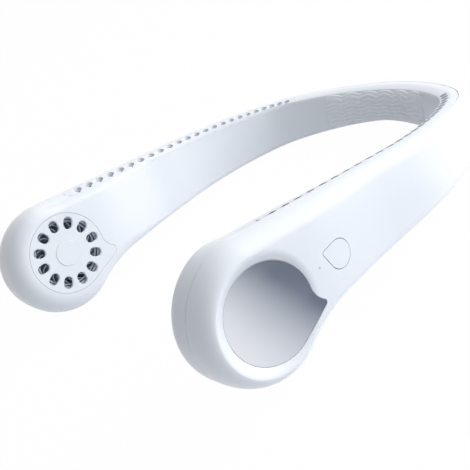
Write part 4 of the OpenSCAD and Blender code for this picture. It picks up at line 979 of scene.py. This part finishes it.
# camera, from the photograph's viewing angle
view = dict(place=(0.326309, -0.20083, 0.18407), turn=57.454, rise=18.963, roll=-17.692,
            lens=850 / 470 * 36, sensor=36, near=0.01, far=50)
turn, rise, roll, tilt = (math.radians(x) for x in (view["turn"], view["rise"], view["roll"], b["tilt"]))
back = Vector((math.sin(turn) * math.cos(rise), -math.cos(turn) * math.cos(rise), math.sin(rise)))
right = (-back).cross(Vector((0, 0, 1))).normalized()
up = right.cross(-back)
rolled = (math.cos(roll) * right + math.sin(roll) * up, math.cos(roll) * up - math.sin(roll) * right, back)
stance = Matrix([Matrix.Rotation(tilt, 3, "X") @ axis for axis in rolled]).transposed()
camera = bpy.data.objects.new("camera", bpy.data.cameras.new("camera"))
bpy.context.scene.collection.objects.link(camera)
camera.matrix_world = Matrix.Translation(Vector(view["place"])) @ stance.to_4x4()
camera.data.lens, camera.data.sensor_width = view["lens"], view["sensor"]
camera.data.clip_start, camera.data.clip_end = view["near"], view["far"]
bpy.context.scene.camera = camera

# world: soft light that grows to the east, north and top, and white for what looks at it
studio = dict(
    world=0.47, east=0.20, north=0.28, high=0.10, sky=(0.93, 0.96, 1.0), paper=(1, 1, 1),
    floorSize=12, floorDrop=0.0003, floorRough=0.8, floorWhite=0.985,
    # painted reflection: a patch of floor that only glossy rays see, darkening along this way between these
    # bounds, in these pale to grey-blue colours
    flagWay=(-0.18, 1.0), flagFrom=-0.1126, flagTo=-0.0674, flagSide=0.1, flagEnd=0.05,
    flagStops=((0.0, (0.90, 0.92, 0.95, 1)), (0.5, (0.45, 0.48, 0.54, 1)), (1.0, (0.16, 0.18, 0.23, 1))),
)
world = bpy.data.worlds.new("studio")
bpy.context.scene.world = world
world.use_nodes = True
tree = world.node_tree
board = Board(tree)
fromCamera, glossy, through = board.rays()
soft = tree.nodes["Background"]
soft.inputs["Color"].default_value = (*studio["sky"], 1)
east, north, high = board.axes("Generated")
level = studio["world"] + east * studio["east"] + north * studio["north"] + high * studio["high"]
feed(tree, soft.inputs["Strength"], level)
white = board.node("ShaderNodeBackground", Color=(*studio["paper"], 1), Strength=1.0)
seen = fromCamera + glossy + through
mixed = board.node("ShaderNodeMixShader", i0=seen, i1=Wire(tree, soft.outputs[0]), i2=white)
feed(tree, tree.nodes["World Output"].inputs["Surface"], mixed)

# floor: white too, but glossy rays see a painted reflection on it, a grey patch beside the part that fades in
# and that the discs mirror as a painted dark gradient
floorMesh = bpy.data.meshes.new("floor")
half = studio["floorSize"] / 2
corners = [(-half, -half, 0), (half, -half, 0), (half, half, 0), (-half, half, 0)]
floorMesh.from_pydata(corners, [], [(0, 1, 2, 3)])
floor = bpy.data.objects.new("floor", floorMesh)
floor.location.z = -studio["floorDrop"]
bpy.context.scene.collection.objects.link(floor)
floorFinish = bpy.data.materials.new("paleFloor")
floorFinish.use_nodes = True
tree = floorFinish.node_tree
board = Board(tree)
shader = tree.nodes["Principled BSDF"]
shader.inputs["Roughness"].default_value = studio["floorRough"]
x, y = board.axes("Object")[:2]
along = x * studio["flagWay"][0] + y * studio["flagWay"][1]
fade = (along - studio["flagFrom"]) / (studio["flagTo"] - studio["flagFrom"])
inside = fade.calc("GREATER_THAN", x, studio["flagSide"]) * fade.calc("LESS_THAN", y, studio["flagEnd"])
fromCamera, glossy, through = board.rays()
dark = fade.calc("MINIMUM", fade.calc("MAXIMUM", fade, 0.0), 1.0) * inside
# painted reflection: for glossy rays only, the floor colour beside the part runs from pale to grey-blue, so
# the discs show a painted dark gradient
paintedReflection = board.node("ShaderNodeValToRGB", {"stops": studio["flagStops"]}, Fac=fade * inside * glossy)
feed(tree, shader.inputs["Base Color"], paintedReflection)
# glossy rays see white except on the painted reflection patch, where they see the darkened floor
seen = fromCamera + glossy * (1 - dark) + through
seen = seen.calc("MINIMUM", seen, 1.0) * studio["floorWhite"]
glow = board.node("ShaderNodeEmission", Color=(*studio["paper"], 1), Strength=1.0)
mixed = board.node("ShaderNodeMixShader", i0=seen, i1=Wire(tree, shader.outputs[0]), i2=glow)
feed(tree, tree.nodes["Material Output"].inputs["Surface"], mixed)
floorMesh.materials.append(floorFinish)

lamps = (
    dict(name="keyLamp", place=(0.15, 0.65, 0.85), aim=(0, 0, 0.02), size=0.9, power=3.2),
    dict(name="sideLamp", place=(0.65, 1.1, 0.42), aim=(0.05, 0.0, 0.02), size=0.9, power=12),
)
for lamp in lamps:
    data = bpy.data.lights.new(lamp["name"], "AREA")
    data.size, data.energy = lamp["size"], lamp["power"]
    thing = bpy.data.objects.new(lamp["name"], data)
    thing.location = lamp["place"]
    thing.rotation_mode = "QUATERNION"
    thing.rotation_quaternion = (Vector(lamp["aim"]) - Vector(lamp["place"])).to_track_quat("-Z", "Y")
    thing.visible_glossy = False
    bpy.context.scene.collection.objects.link(thing)
bpy.context.scene.view_settings.view_transform = "Standard"
print("stage set")
